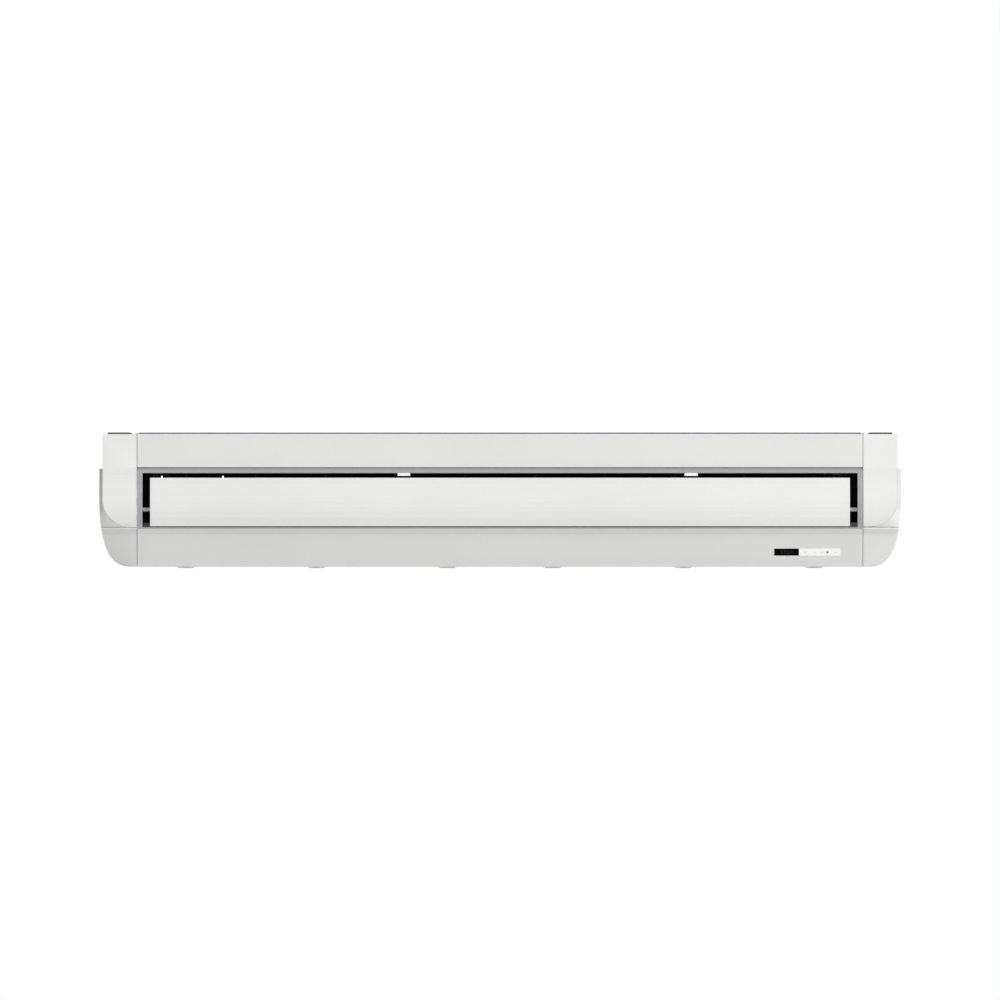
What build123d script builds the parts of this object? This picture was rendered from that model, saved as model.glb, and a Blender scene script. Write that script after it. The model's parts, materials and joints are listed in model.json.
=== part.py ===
from build123d import *
import math
import os

# Floor-ceiling air conditioner, shown hung under a ceiling.
# Millimetres. X runs along the unit, -Y is the front, +Z is up.
# The origin is on the ceiling plane, in the middle of the four hanger bolts.

# Overall sizes
HALF_WIDTH = 700.0
HEIGHT = 235.0
REAR_Y = 330.0
PANEL_Y = -318.0
BULGE_Y = PANEL_Y - 27.0
BULGE_DROP = 118.0

# Sheet and wall thicknesses
STEEL = 1.2
PLATE = 1.5
WALL = 2.5
BRACKET = 2.6

# Clearances
GAP = 0.3
SEAM = 0.8
RUN = 0.05

# Lines across the front, as drops below the ceiling plane
TOP_HEM_DROP = 2.4
PANEL_BOTTOM_DROP = 61.0
FRAME_TOP_DROP = PANEL_BOTTOM_DROP + 2.5
LEDGE_DROP = PANEL_BOTTOM_DROP + 2.8
MOUTH_TOP_DROP = FRAME_TOP_DROP + 7.7
FLAP_TOP_DROP = MOUTH_TOP_DROP + 8.3
FLAP_BOTTOM_DROP = 164.2
HOOD_BOTTOM_DROP = FLAP_BOTTOM_DROP + 0.4
MOUTH_BOTTOM_DROP = FLAP_BOTTOM_DROP + 1.8
NOSE_DROP = FLAP_BOTTOM_DROP + 4.2
RIM_DROP = NOSE_DROP + 10.4

# Front to back places of the lower front panel
HOOD_LIP_Y = PANEL_Y - 18.0
NOSE_Y = PANEL_Y - 19.0
RIM_Y = PANEL_Y - 4.0
TOE_Y = RIM_Y + 47.0
LIP_END_Y = TOE_Y + 13.0

# Places across the unit, as distances from the middle
END_LENGTH = 65.2
SHELL_LAP = 5.6
FRAME_BAR = 10.1
FLAP_END_GAP = 13.5
SEAM_X = HALF_WIDTH - END_LENGTH
HOOD_X = HALF_WIDTH - SHELL_LAP
MOUTH_X = SEAM_X - FRAME_BAR
FLAP_X = MOUTH_X - FLAP_END_GAP
SIDE_PLATE_X = SEAM_X - PLATE - 1.8
TOP_PLATE_HALF = SIDE_PLATE_X - PLATE

# End cover and side shell corners
HOOD_TOP_DROP = 3.0
HOOD_CORNER_R = 47.2
HOOD_CHAMFER = 6.0
HOOD_SKIRT_DROP = LEDGE_DROP + 8.2
CHEEK_Y = PANEL_Y + 22.0
SIDE_STRAIGHT_DROP = 111.5
SIDE_CURVE_PULL = 110.0
BASE_CURVE_PULL = 29.0
BASE_CURVE_RUN = 56.0
REAR_FRAME = 6.0
REAR_WINDOW = 31.0

# Hanger brackets
BOLT_X = SEAM_X + 33.2
BOLT_Y = 160.0
BOLT_R = 5.5
HANGER_IN = SEAM_X + 13.9
HANGER_OUT = HOOD_X - 7.4
HANGER_HALF_LENGTH = BOLT_Y + 40.0
HANGER_WEB_DROP = 40.0

# Flap and its pivots
FLAP_THICK = 8.0
PIVOT_Y = BULGE_Y + 11.0
PIVOT_DROP = FLAP_BOTTOM_DROP - 29.2
PIVOT_R = 3.5
BOSS_R = 7.0
BOSS_LENGTH = 15.0
PIN_SOCKET = 6.0
FLAP_MOTOR_R = 14.0
FLAP_MOTOR_LENGTH = 19.0
FLAP_MOTOR_OFFSET = 8.0
SILL_DROP = MOUTH_BOTTOM_DROP - 8.2
SILL_Y = PIVOT_Y + 26.0
SILL_TOE_Y = PIVOT_Y + 12.0

# Vanes and the bars that link them
VANES_PER_SIDE = 5
VANE_END_GAP = 14.7
VANE_PITCH = (MOUTH_X - VANE_END_GAP) / VANES_PER_SIDE
VANE_FIRST_X = VANE_PITCH / 2
VANE_AXIS_Y = CHEEK_Y + 26.0
VANE_FRONT = 22.0
VANE_REAR = 38.0
VANE_THICK = 2.2
VANE_PIN_R = 2.5
VANE_PIN_LENGTH = 5.0
LEVER_REACH = 25.0
LEVER_PIN_R = 2.0
VANE_ANGLE = 35.0
VANE_TOP_DROP = MOUTH_TOP_DROP + 5.8
VANE_BOTTOM_DROP = SILL_DROP - 7.8
LINK_THICK = 3.0
LINK_FRONT_Y = VANE_AXIS_Y + 11.0
LINK_REAR_Y = VANE_AXIS_Y + 32.0
LINK_TOP_DROP = MOUTH_TOP_DROP - 5.2
LINK_MARGIN = 14.0
TAB_X = (-168.7, 334.4)
TAB_TOP_WIDTH = 21.0
TAB_BOTTOM_WIDTH = 24.0
TAB_BOTTOM_DROP = MOUTH_TOP_DROP + 4.8
TAB_THICK = 3.0

# Outlet duct
DUCT_REAR_Y = CHEEK_Y + 146.0
DUCT_ROOF = 12.0
DUCT_FLOOR = 10.0
RIB_X = (-255.4, 0.0, 255.4)
RIB_WIDTH = 6.0
RIB_FRONT_Y = VANE_AXIS_Y + 42.0

# Blowers
SHAFT_Y = REAR_Y - 140.0
SHAFT_DROP = 118.0
SHAFT_R = 6.0
SHAFT_HALF = SIDE_PLATE_X - 9.5
WHEEL_X = (-SIDE_PLATE_X + 151.5, -210.0, 210.0, SIDE_PLATE_X - 151.5)
WHEEL_R = 66.0
WHEEL_INNER_R = 54.0
WHEEL_HALF = 80.0
WHEEL_BLADES = 28
BLADE_THICK = 1.2
WHEEL_RING = 3.0
HUB_R = 14.0
SCROLL_R = 92.0
SCROLL_HALF = 92.0
SCROLL_WALL = 2.0
INLET_R = 56.0
THROAT_TOP_DROP = 40.0
THROAT_BOTTOM_DROP = 128.0
DECK_Y = SHAFT_Y - 128.0
DECK_BOTTOM_DROP = HEIGHT - 11.0
MOTOR_R = 58.0
MOTOR_HALF = 62.0
CLAMP_WIDTH = 30.0
CLAMP_STRAP = 4.0
BEARING_R = 17.0

# Coil and drain pan
COIL_HALF = SIDE_PLATE_X - 71.5
COIL_DEEP = 44.0
COIL_TALL = 196.0
COIL_TILT = 36.0
COIL_Y = DECK_Y - 124.0
COIL_DROP = 101.0
COIL_PLATE = 1.5
TUBE_R = 4.76
TUBE_ROWS = 2
TUBES_PER_ROW = 8
TUBE_PITCH = 24.0
ROW_PITCH = 22.0
FIN_GROOVE_PITCH = 20.0
FIN_GROOVE = 2.0
PAN_REAR_Y = DECK_Y - 32.0
PAN_FRONT_Y = PAN_REAR_Y - 230.0
PAN_BOTTOM_DROP = HEIGHT - 13.0
PAN_TOP_DROP = PAN_BOTTOM_DROP - 32.0
PAN_WALL = 4.0
SPOUT_R = 10.0
SPOUT_ROOT_R = 9.0
SPOUT_BORE_R = 7.5
SPOUT_X = SEAM_X + 21.2
SPOUT_END_Y = PAN_REAR_Y + 30.0

# Underside
GRILLE_IN = 4.0
GRILLE_OUT = SIDE_PLATE_X - 1.0
GRILLE_THICK = 5.0
GRILLE_FRONT_Y = LIP_END_Y + 1.0
HINGE_Y = REAR_Y - 80.0
HINGE_DROP = HEIGHT - 3.5
HINGE_PIN_R = 1.8
HINGE_PIN_LENGTH = 2.5
GRILLE_BORDER = 16.0
SLAT_PITCH = 12.0
SLOT_WIDTH = 7.0
GRILLE_BAYS = 4
BAY_BAR = 10.0
LATCH_X = (92.0, 320.75, SEAM_X - 85.3)
LATCH_WIDTH = 31.5
LATCH_LENGTH = 24.0
LATCH_PROUD = 2.4
LATCH_Y = LIP_END_Y + 18.0
LATCH_TRAVEL = 7.0
STEM_WIDTH = 12.0
STEM_LENGTH = 8.0
FILTER_THICK = 4.0
FILTER_BORDER = 8.0
FILTER_CELLS_X = 8
FILTER_CELLS_Y = 6
FILTER_BAR = 3.0

# Display and button, centred on the lower front panel's slope
DISPLAY_X = (SEAM_X - 155.3, SEAM_X - 112.2)
INDICATOR_X = (SEAM_X - 112.2, SEAM_X - 39.8)
WINDOW_TOP_DROP = 203.5
WINDOW_BOTTOM_DROP = 215.4
WINDOW_THICK = 3.0
BUTTON_X = SEAM_X - 62.2
BUTTON_R = 2.0
BUTTON_TRAVEL = 0.8
BUTTON_LENGTH = 5.0

# Electric box in the right end and pipes in the left end
BOX_FRONT_Y = -250.0
BOX_REAR_Y = 20.0
BOX_TOP_DROP = 80.0
BOX_BOTTOM_DROP = 205.0
BOX_DEEP = 40.0
GROMMET_X = SEAM_X + 27.2
GROMMET_DROP = 140.0
GROMMET_R = 13.0
GROMMET_BORE_R = 7.0
GAS_R = 7.94
LIQUID_R = 4.76
PIPE_X = SEAM_X + 25.2
GAS_DROP = 120.0
LIQUID_DROP = 150.0
PIPE_END_Y = REAR_Y - 8.0
SWAGE = 0.6
SPIGOT_LENGTH = 12.0
NUT_LENGTH = 18.0


def block(x0, x1, y0, y1, top, bottom):
    """A box between two X and two Y places and two drops below the ceiling."""
    centre = Pos((x0 + x1) / 2, (y0 + y1) / 2, -(top + bottom) / 2)
    return centre * Box(abs(x1 - x0), abs(y1 - y0), abs(bottom - top))


def rod(x0, x1, y, drop, radius):
    """A round bar along X."""
    return Pos((x0 + x1) / 2, y, -drop) * Rot(0, 90, 0) * Cylinder(radius, abs(x1 - x0))


def post(x, y, top, bottom, radius):
    """A round bar along Z."""
    return Pos(x, y, -(top + bottom) / 2) * Cylinder(radius, abs(bottom - top))


def bar_along_y(x, y0, y1, drop, radius):
    """A round bar along Y."""
    return Pos(x, (y0 + y1) / 2, -drop) * Rot(90, 0, 0) * Cylinder(radius, abs(y1 - y0))


def run_along_x(edges, x0, x1):
    """A solid from a closed side outline, run from x0 to x1."""
    face = make_face(Wire(edges))
    return Pos(x0, 0, 0) * extrude(face, amount=x1 - x0, dir=(1, 0, 0))


def side_line(*points):
    """Straight edges through (y, drop) points."""
    return Polyline(*[(0, y, -drop) for y, drop in points]).edges()


def side_arc(start, middle, end):
    """One arc through three (y, drop) points."""
    return ThreePointArc(*[(0, y, -drop) for y, drop in (start, middle, end)]).edges()


def run_along_y(edges, y0, y1):
    """A solid from a closed front outline, run from y0 to y1."""
    face = make_face(Wire(edges))
    return Pos(0, y0, 0) * extrude(face, amount=y1 - y0, dir=(0, 1, 0))


def front_line(*points):
    """Straight edges through (x, drop) points."""
    return Polyline(*[(x, 0, -drop) for x, drop in points]).edges()


def bulge_circle():
    """Centre (y, drop) and radius of the convex front that hood, frame and flap share."""
    (ay, ad), (by, bd), (cy, cd) = (
        (PANEL_Y, PANEL_BOTTOM_DROP),
        (BULGE_Y, BULGE_DROP),
        (HOOD_LIP_Y, HOOD_BOTTOM_DROP),
    )
    d = 2 * (ay * (bd - cd) + by * (cd - ad) + cy * (ad - bd))
    a2, b2, c2 = ay * ay + ad * ad, by * by + bd * bd, cy * cy + cd * cd
    uy = (a2 * (bd - cd) + b2 * (cd - ad) + c2 * (ad - bd)) / d
    ud = (a2 * (cy - by) + b2 * (ay - cy) + c2 * (by - ay)) / d
    return uy, ud, math.hypot(ay - uy, ad - ud)


BULGE_CENTRE_Y, BULGE_CENTRE_DROP, BULGE_R = bulge_circle()


def bulge_y(drop, inset=0.0):
    """Front surface of the convex front at one drop, set back by inset."""
    radius = BULGE_R - inset
    return BULGE_CENTRE_Y - math.sqrt(radius**2 - (drop - BULGE_CENTRE_DROP) ** 2)


def bulge_arc(top, bottom, inset=0.0):
    """The convex front as an arc from one drop to another."""
    middle = (top + bottom) / 2
    return side_arc(*[(bulge_y(d, inset), d) for d in (top, middle, bottom)])


# Casing of sheet steel
def top_plate():
    """Galvanised lid with a short hem along its front edge."""
    lid = block(-TOP_PLATE_HALF, TOP_PLATE_HALF, PANEL_Y, REAR_Y - STEEL, 0, STEEL)
    hem = block(-TOP_PLATE_HALF, TOP_PLATE_HALF, PANEL_Y, PANEL_Y + STEEL, 0, TOP_HEM_DROP)
    return lid + hem


def rear_plate():
    """Back of the casing, with a foot under the blowers and a lug for the grille hinges."""
    half = SIDE_PLATE_X + PLATE
    back = block(-half, half, REAR_Y - STEEL, REAR_Y, 0, HEIGHT)
    foot = block(-half, half, HINGE_Y + 6, REAR_Y, HEIGHT - STEEL, HEIGHT)
    lug_half = GRILLE_IN - 1
    lug = block(-lug_half, lug_half, HINGE_Y - 5, HINGE_Y + 8, HINGE_DROP - 5, HEIGHT)
    hinge = rod(-lug_half, lug_half, HINGE_Y, HINGE_DROP, HINGE_PIN_R + GAP)
    return back + foot + lug - hinge


def side_plates():
    """Two upright plates that carry the coil, the blowers and the hangers."""
    plates = []
    for side in (-1, 1):
        x0, x1 = side * SIDE_PLATE_X, side * (SIDE_PLATE_X + PLATE)
        plate = block(x0, x1, CHEEK_Y, REAR_Y - STEEL, STEEL, HEIGHT - STEEL)
        plate -= block(x0, x1, CHEEK_Y, LIP_END_Y, NOSE_DROP, HEIGHT)
        plate -= rod(x0, x1, HINGE_Y, HINGE_DROP, HINGE_PIN_R + GAP)
        plate -= rod(x0, x1, SHAFT_Y, SHAFT_DROP, SHAFT_R + 2)
        if side < 0:
            for drop, radius in ((GAS_DROP, GAS_R), (LIQUID_DROP, LIQUID_R)):
                plate -= rod(x0, x1, header_y(), drop, radius - SWAGE + GAP)
            plate -= rod(x0, x1, spout_y(), spout_drop(), SPOUT_ROOT_R + GAP)
        plates.append(plate)
    return plates


def hanger_brackets():
    """Two folded brackets with the four bolt holes for the ceiling rods."""
    brackets = []
    for side in (-1, 1):
        y0, y1 = -HANGER_HALF_LENGTH, HANGER_HALF_LENGTH
        flat = block(side * HANGER_IN, side * HANGER_OUT, y0, y1, 0, BRACKET)
        web = block(side * HANGER_IN, side * (HANGER_IN + BRACKET), y0, y1, 0, HANGER_WEB_DROP)
        foot_top = HANGER_WEB_DROP - BRACKET
        foot = block(
            side * (SIDE_PLATE_X + PLATE), side * HANGER_IN, y0, y1, foot_top, HANGER_WEB_DROP
        )
        bracket = flat + web + foot
        for y in (-BOLT_Y, BOLT_Y):
            bracket -= post(side * BOLT_X, y, -1, BRACKET + 1, BOLT_R)
        brackets.append(bracket)
    return brackets


def front_top_panel():
    """Painted panel above the outlet, folded back at its top and bottom."""
    half = SEAM_X - SEAM
    top = TOP_HEM_DROP + 0.1
    face = block(-half, half, PANEL_Y, PANEL_Y + STEEL, top, PANEL_BOTTOM_DROP)
    upper = block(-half, half, PANEL_Y, PANEL_Y + 16, top, top + STEEL)
    lower = block(
        -half, half, PANEL_Y, CHEEK_Y, PANEL_BOTTOM_DROP - STEEL, PANEL_BOTTOM_DROP
    )
    return face + upper + lower


def panel_section(x0, x1):
    """Wall of the lower front panel between two X places."""
    outer = run_along_x(
        side_line(
            (NOSE_Y, NOSE_DROP),
            (RIM_Y, RIM_DROP),
            (TOE_Y, HEIGHT),
            (LIP_END_Y, HEIGHT),
            (LIP_END_Y, NOSE_DROP),
            (NOSE_Y, NOSE_DROP),
        ),
        x0,
        x1,
    )
    inner = run_along_x(
        side_line(
            (NOSE_Y + 3 * WALL, NOSE_DROP + WALL),
            (RIM_Y + WALL + 1, RIM_DROP),
            (TOE_Y + 1, HEIGHT - WALL),
            (0, HEIGHT - WALL),
            (0, NOSE_DROP + WALL),
            (NOSE_Y + 3 * WALL, NOSE_DROP + WALL),
        ),
        x0 - 1,
        x1 + 1,
    )
    return outer - inner


def slope_plane(x):
    """Plane on the lower front panel's slope, facing out, at the windows' height."""
    middle = (WINDOW_TOP_DROP + WINDOW_BOTTOM_DROP) / 2
    share = (middle - RIM_DROP) / (HEIGHT - RIM_DROP)
    y = RIM_Y + share * (TOE_Y - RIM_Y)
    run, fall = TOE_Y - RIM_Y, HEIGHT - RIM_DROP
    return Plane(origin=(x, y, -middle), x_dir=(1, 0, 0), z_dir=(0, -fall, -run))


def window_height():
    """Height of the windows, measured along the slope."""
    run, fall = TOE_Y - RIM_Y, HEIGHT - RIM_DROP
    return (WINDOW_BOTTOM_DROP - WINDOW_TOP_DROP) * math.hypot(run, fall) / fall


def slope_box(x0, x1, height, below, above):
    """A box let into the slope between two X places."""
    plane = slope_plane((x0 + x1) / 2)
    return plane * Pos(0, 0, (above - below) / 2) * Box(x1 - x0, height, below + above)


def lower_front_panel():
    """Moulded panel under the outlet, with a rim, a slope and the window opening."""
    half = SEAM_X - SEAM
    opening = slope_box(DISPLAY_X[0], INDICATOR_X[1], window_height(), 3 * WALL, 1)
    return panel_section(-half, half) - opening


# Moulded ends
def hood_outline(inset=0.0, back=REAR_Y):
    """Side outline of an end cover: flat brow, convex front and flat bottom."""
    top, bottom = HOOD_TOP_DROP + inset, HOOD_BOTTOM_DROP - inset
    lip = bulge_y(bottom, inset)
    brow = PANEL_Y + inset
    knee = PANEL_BOTTOM_DROP
    return (
        side_line((lip, bottom), (back, bottom), (back, top), (brow, top), (brow, knee))
        + side_line((brow, knee), (bulge_y(knee + 1, inset), knee + 1))
        + bulge_arc(knee + 1, bottom, inset)
    )


def hood_silhouette(inset=0.0, inner_x=SEAM_X):
    """Front outline of the right end cover, with its large lower corner."""
    x0, x1 = inner_x, HOOD_X - inset
    top, bottom = HOOD_TOP_DROP + inset, HOOD_BOTTOM_DROP - inset
    radius = HOOD_CORNER_R - inset
    lines = front_line(
        (x1 - radius, bottom),
        (x0, bottom),
        (x0, top),
        (x1 - HOOD_CHAMFER, top),
        (x1, top + HOOD_CHAMFER),
        (x1, bottom - radius),
    )
    corner = radius * math.sin(math.radians(45))
    arc = ThreePointArc(
        (x1, 0, -(bottom - radius)),
        (x1 - radius + corner, 0, -(bottom - radius + corner)),
        (x1 - radius, 0, -bottom),
    ).edges()
    return lines + arc


def end_cover_right():
    """Upper end cover: a hood at the front and a skirt along the side."""
    outer = run_along_x(hood_outline(), SEAM_X, HOOD_X)
    outer &= run_along_y(hood_silhouette(), BULGE_Y - 5, REAR_Y)
    inner = run_along_x(hood_outline(WALL, REAR_Y + 5), SEAM_X - 5, HOOD_X)
    inner &= run_along_y(hood_silhouette(WALL, SEAM_X - 5), BULGE_Y - 5, REAR_Y + 5)
    shell = outer - inner
    shell -= block(SEAM_X - 5, HOOD_X + 5, CHEEK_Y, REAR_Y + 5, HOOD_SKIRT_DROP, HEIGHT)
    shell -= block(
        HANGER_IN - 2,
        HANGER_OUT + 2,
        -HANGER_HALF_LENGTH - 2,
        HANGER_HALF_LENGTH + 2,
        -1,
        HOOD_TOP_DROP + 2 * WALL,
    )
    return shell


def shell_silhouette(inset=0.0, inner_x=SEAM_X):
    """Front outline of the right side shell, with its long curved lower corner."""
    x1, bottom, top = HALF_WIDTH - inset, HEIGHT - inset, LEDGE_DROP + inset
    x0 = inner_x
    curve = Bezier(
        (x1, 0, -SIDE_STRAIGHT_DROP),
        (x1, 0, -(SIDE_STRAIGHT_DROP + SIDE_CURVE_PULL)),
        (x1 - BASE_CURVE_RUN + BASE_CURVE_PULL, 0, -bottom),
        (x1 - BASE_CURVE_RUN, 0, -bottom),
    ).edges()
    lines = front_line(
        (x1 - BASE_CURVE_RUN, bottom), (x0, bottom), (x0, top), (x1, top), (x1, SIDE_STRAIGHT_DROP)
    )
    return lines + curve


def shell_outline(inset=0.0, back=REAR_Y):
    """Side outline of a side shell: it follows the hood, then the lower front panel."""
    top = LEDGE_DROP + inset
    lip = (bulge_y(HOOD_BOTTOM_DROP, 1 + inset), HOOD_BOTTOM_DROP)
    lines = side_line(
        lip,
        (NOSE_Y + inset, NOSE_DROP),
        (RIM_Y + inset, RIM_DROP),
        (TOE_Y + inset / 2, HEIGHT - inset),
        (back, HEIGHT - inset),
        (back, top),
        (bulge_y(top, 1 + inset), top),
    )
    return lines + bulge_arc(top, HOOD_BOTTOM_DROP, 1 + inset)


def plain_side_shell():
    """Lower end shell with a window at its front that the end cover's hood fills."""
    outer = run_along_x(shell_outline(), SEAM_X, HALF_WIDTH)
    outer &= run_along_y(shell_silhouette(), BULGE_Y - 5, REAR_Y)
    inner = run_along_x(shell_outline(WALL, REAR_Y - WALL), SEAM_X - 5, HALF_WIDTH)
    inner &= run_along_y(shell_silhouette(WALL, SEAM_X - 5), BULGE_Y - 5, REAR_Y - WALL)
    shell = outer - inner
    hood = run_along_y(hood_silhouette(-GAP, SEAM_X - 5), BULGE_Y - 5, CHEEK_Y)
    skirt = block(SEAM_X - 5, HOOD_X + GAP, BULGE_Y - 5, REAR_Y + 5, 0, HOOD_SKIRT_DROP + GAP)
    return shell - hood - skirt


def side_shell_right():
    """Right lower end shell, with the hole for the cable grommet."""
    hole = bar_along_y(GROMMET_X, REAR_Y - 10, REAR_Y + 5, GROMMET_DROP, GROMMET_R - 2)
    return plain_side_shell() - hole


def side_shell_left():
    """Left lower end shell, with a wide rear opening for the pipes and the drain hose."""
    y0, y1 = REAR_Y - 2 * WALL, REAR_Y + 5
    x0 = SEAM_X + REAR_FRAME
    window = block(x0, x0 + REAR_WINDOW, y0, y1, GAS_DROP - 22, HEIGHT - 2 * REAR_FRAME)
    return mirror(plain_side_shell() - window, about=Plane.YZ)


# Outlet: frame, duct, flap and vanes
def outlet_frame():
    """Grey ring round the air outlet, with a sill that rises behind the flap."""
    half = SEAM_X - GAP
    top = FRAME_TOP_DROP
    outline = bulge_arc(top, MOUTH_BOTTOM_DROP, 1.0) + side_line(
        (bulge_y(MOUTH_BOTTOM_DROP, 1.0), MOUTH_BOTTOM_DROP),
        (bulge_y(MOUTH_BOTTOM_DROP, 1.0), NOSE_DROP - 0.1),
        (CHEEK_Y, NOSE_DROP - 0.1),
        (CHEEK_Y, top),
        (bulge_y(top, 1.0), top),
    )
    mouth = side_line(
        (BULGE_Y - 5, MOUTH_TOP_DROP),
        (CHEEK_Y + 5, MOUTH_TOP_DROP),
        (CHEEK_Y + 5, SILL_DROP),
        (SILL_Y, SILL_DROP),
        (SILL_TOE_Y, MOUTH_BOTTOM_DROP),
        (BULGE_Y - 5, MOUTH_BOTTOM_DROP),
        (BULGE_Y - 5, MOUTH_TOP_DROP),
    )
    frame = run_along_x(outline, -half, half) - run_along_x(mouth, -MOUTH_X, MOUTH_X)
    for side in (-1, 1):
        frame -= rod(side * (MOUTH_X - 1), side * (half + 1), PIVOT_Y, PIVOT_DROP, PIVOT_R)
    return frame


def outlet_duct():
    """Foam air passage behind the frame, with a channel for the link bars and three ribs."""
    roof_top = MOUTH_TOP_DROP - DUCT_ROOF
    floor_bottom = SILL_DROP + DUCT_FLOOR
    half = SIDE_PLATE_X
    body = block(-half, half, CHEEK_Y, DUCT_REAR_Y, roof_top, floor_bottom)
    body -= block(-MOUTH_X, MOUTH_X, CHEEK_Y, DUCT_REAR_Y, MOUTH_TOP_DROP, SILL_DROP)
    body -= block(
        -MOUTH_X,
        MOUTH_X,
        LINK_FRONT_Y - 1,
        LINK_REAR_Y + 1,
        LINK_TOP_DROP - GAP,
        MOUTH_TOP_DROP,
    )
    for x in RIB_X:
        x0, x1 = x - RIB_WIDTH / 2, x + RIB_WIDTH / 2
        body += block(x0, x1, RIB_FRONT_Y, DUCT_REAR_Y, MOUTH_TOP_DROP, SILL_DROP)
    for x in vane_places():
        body -= post(x, VANE_AXIS_Y, MOUTH_TOP_DROP - 7, MOUTH_TOP_DROP, VANE_PIN_R + RUN)
        body -= post(x, VANE_AXIS_Y, SILL_DROP, SILL_DROP + 7, VANE_PIN_R + RUN)
    return body


def vane_places():
    """X places of the vanes, from left to right."""
    right = [VANE_FIRST_X + i * VANE_PITCH for i in range(VANES_PER_SIDE)]
    return [-x for x in reversed(right)] + right


def vane(x):
    """One upright vane with its two pivot pins and the lever pin that the link bar drives."""
    y0, y1 = VANE_AXIS_Y - VANE_FRONT, VANE_AXIS_Y + VANE_REAR
    half = VANE_THICK / 2
    blade = block(x - half, x + half, y0, y1, VANE_TOP_DROP, VANE_BOTTOM_DROP)
    hub = post(x, VANE_AXIS_Y, MOUTH_TOP_DROP + GAP, SILL_DROP - GAP, VANE_PIN_R + 1.5)
    pins = post(
        x,
        VANE_AXIS_Y,
        MOUTH_TOP_DROP - VANE_PIN_LENGTH,
        SILL_DROP + VANE_PIN_LENGTH,
        VANE_PIN_R,
    )
    lever = post(x, VANE_AXIS_Y + LEVER_REACH, LINK_TOP_DROP, VANE_TOP_DROP + 1, LEVER_PIN_R)
    return blade + hub + pins + lever


def link_bar(side):
    """Bar that turns five vanes together, with the lever tab that a finger moves."""
    places = [x for x in vane_places() if x * side > 0]
    x0, x1 = min(places) - LINK_MARGIN, max(places) + LINK_MARGIN
    bar = block(x0, x1, LINK_FRONT_Y, LINK_REAR_Y, LINK_TOP_DROP, LINK_TOP_DROP + LINK_THICK)
    swing = math.radians(VANE_ANGLE)
    slack = LEVER_REACH * (swing - math.sin(swing))
    slot_half = LEVER_PIN_R + slack + GAP
    pin_y = VANE_AXIS_Y + LEVER_REACH
    front = pin_y - LEVER_REACH * (1 - math.cos(swing)) - LEVER_PIN_R - GAP
    for x in places:
        bar -= block(
            x - slot_half,
            x + slot_half,
            front,
            pin_y + LEVER_PIN_R + GAP,
            LINK_TOP_DROP - 1,
            LINK_TOP_DROP + LINK_THICK + 1,
        )
    tab_x = TAB_X[0] if side < 0 else TAB_X[1]
    top, bottom = LINK_TOP_DROP + LINK_THICK, TAB_BOTTOM_DROP
    half_top, half_bottom = TAB_TOP_WIDTH / 2, TAB_BOTTOM_WIDTH / 2
    tab = run_along_y(
        front_line(
            (tab_x - half_top, top),
            (tab_x + half_top, top),
            (tab_x + half_bottom, bottom),
            (tab_x - half_bottom, bottom),
            (tab_x - half_top, top),
        ),
        LINK_FRONT_Y,
        LINK_FRONT_Y + TAB_THICK,
    )
    return bar + tab


def flap():
    """Convex flap over the outlet, with a boss and a pin socket at each end."""
    top, bottom = FLAP_TOP_DROP, FLAP_BOTTOM_DROP
    inner = FLAP_THICK + 0.5
    outline = (
        bulge_arc(top, bottom, 0.5)
        + side_line((bulge_y(bottom, 0.5), bottom), (bulge_y(bottom, inner), bottom))
        + bulge_arc(top, bottom, inner)
        + side_line((bulge_y(top, inner), top), (bulge_y(top, 0.5), top))
    )
    leaf = run_along_x(outline, -FLAP_X, FLAP_X)
    for side in (-1, 1):
        leaf += rod(
            side * (FLAP_X - BOSS_LENGTH), side * FLAP_X, PIVOT_Y, PIVOT_DROP, BOSS_R
        )
        leaf -= rod(
            side * (FLAP_X - PIN_SOCKET),
            side * (FLAP_X + 1),
            PIVOT_Y,
            PIVOT_DROP,
            PIVOT_R + RUN,
        )
    return leaf


def flap_pins():
    """Two pivot pins, pressed into the frame and running in the flap's sockets."""
    inner = FLAP_X - PIN_SOCKET + 1
    return [
        rod(side * inner, side * (SEAM_X - GAP), PIVOT_Y, PIVOT_DROP, PIVOT_R)
        for side in (-1, 1)
    ]


def flap_motor():
    """Small geared motor outside the right end of the frame, on the pivot's line."""
    x0 = SEAM_X - GAP
    can = rod(x0, x0 + FLAP_MOTOR_LENGTH, PIVOT_Y + FLAP_MOTOR_OFFSET, PIVOT_DROP, FLAP_MOTOR_R)
    half = FLAP_MOTOR_R + 7
    ears = block(
        x0,
        x0 + 1,
        PIVOT_Y + FLAP_MOTOR_OFFSET - 3,
        PIVOT_Y + FLAP_MOTOR_OFFSET + 4,
        PIVOT_DROP - half,
        PIVOT_DROP + half,
    )
    return can + ears


# Coil, drain pan and pipes
def coil_place(u, v):
    """The (y, drop) of a point on the coil: u along its depth and v down its height."""
    tilt = math.radians(COIL_TILT)
    y = COIL_Y + u * math.cos(tilt) - v * math.sin(tilt)
    return y, COIL_DROP + u * math.sin(tilt) + v * math.cos(tilt)


def header_y():
    """Y place of the two pipe holes in the left side plate."""
    return COIL_Y + COIL_DEEP + 20


def coil_slab(x0, x1, deep, tall):
    """A slab on the coil's slant."""
    d, t = deep / 2, tall / 2
    corners = [coil_place(*c) for c in ((-d, -t), (d, -t), (d, t), (-d, t), (-d, -t))]
    return run_along_x(side_line(*corners), x0, x1)


def tube_places():
    """The (y, drop) of each tube, row by row."""
    rows = [(i - (TUBE_ROWS - 1) / 2) * ROW_PITCH for i in range(TUBE_ROWS)]
    steps = [(i - (TUBES_PER_ROW - 1) / 2) * TUBE_PITCH for i in range(TUBES_PER_ROW)]
    return [[coil_place(u, v) for v in steps] for u in rows]


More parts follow.
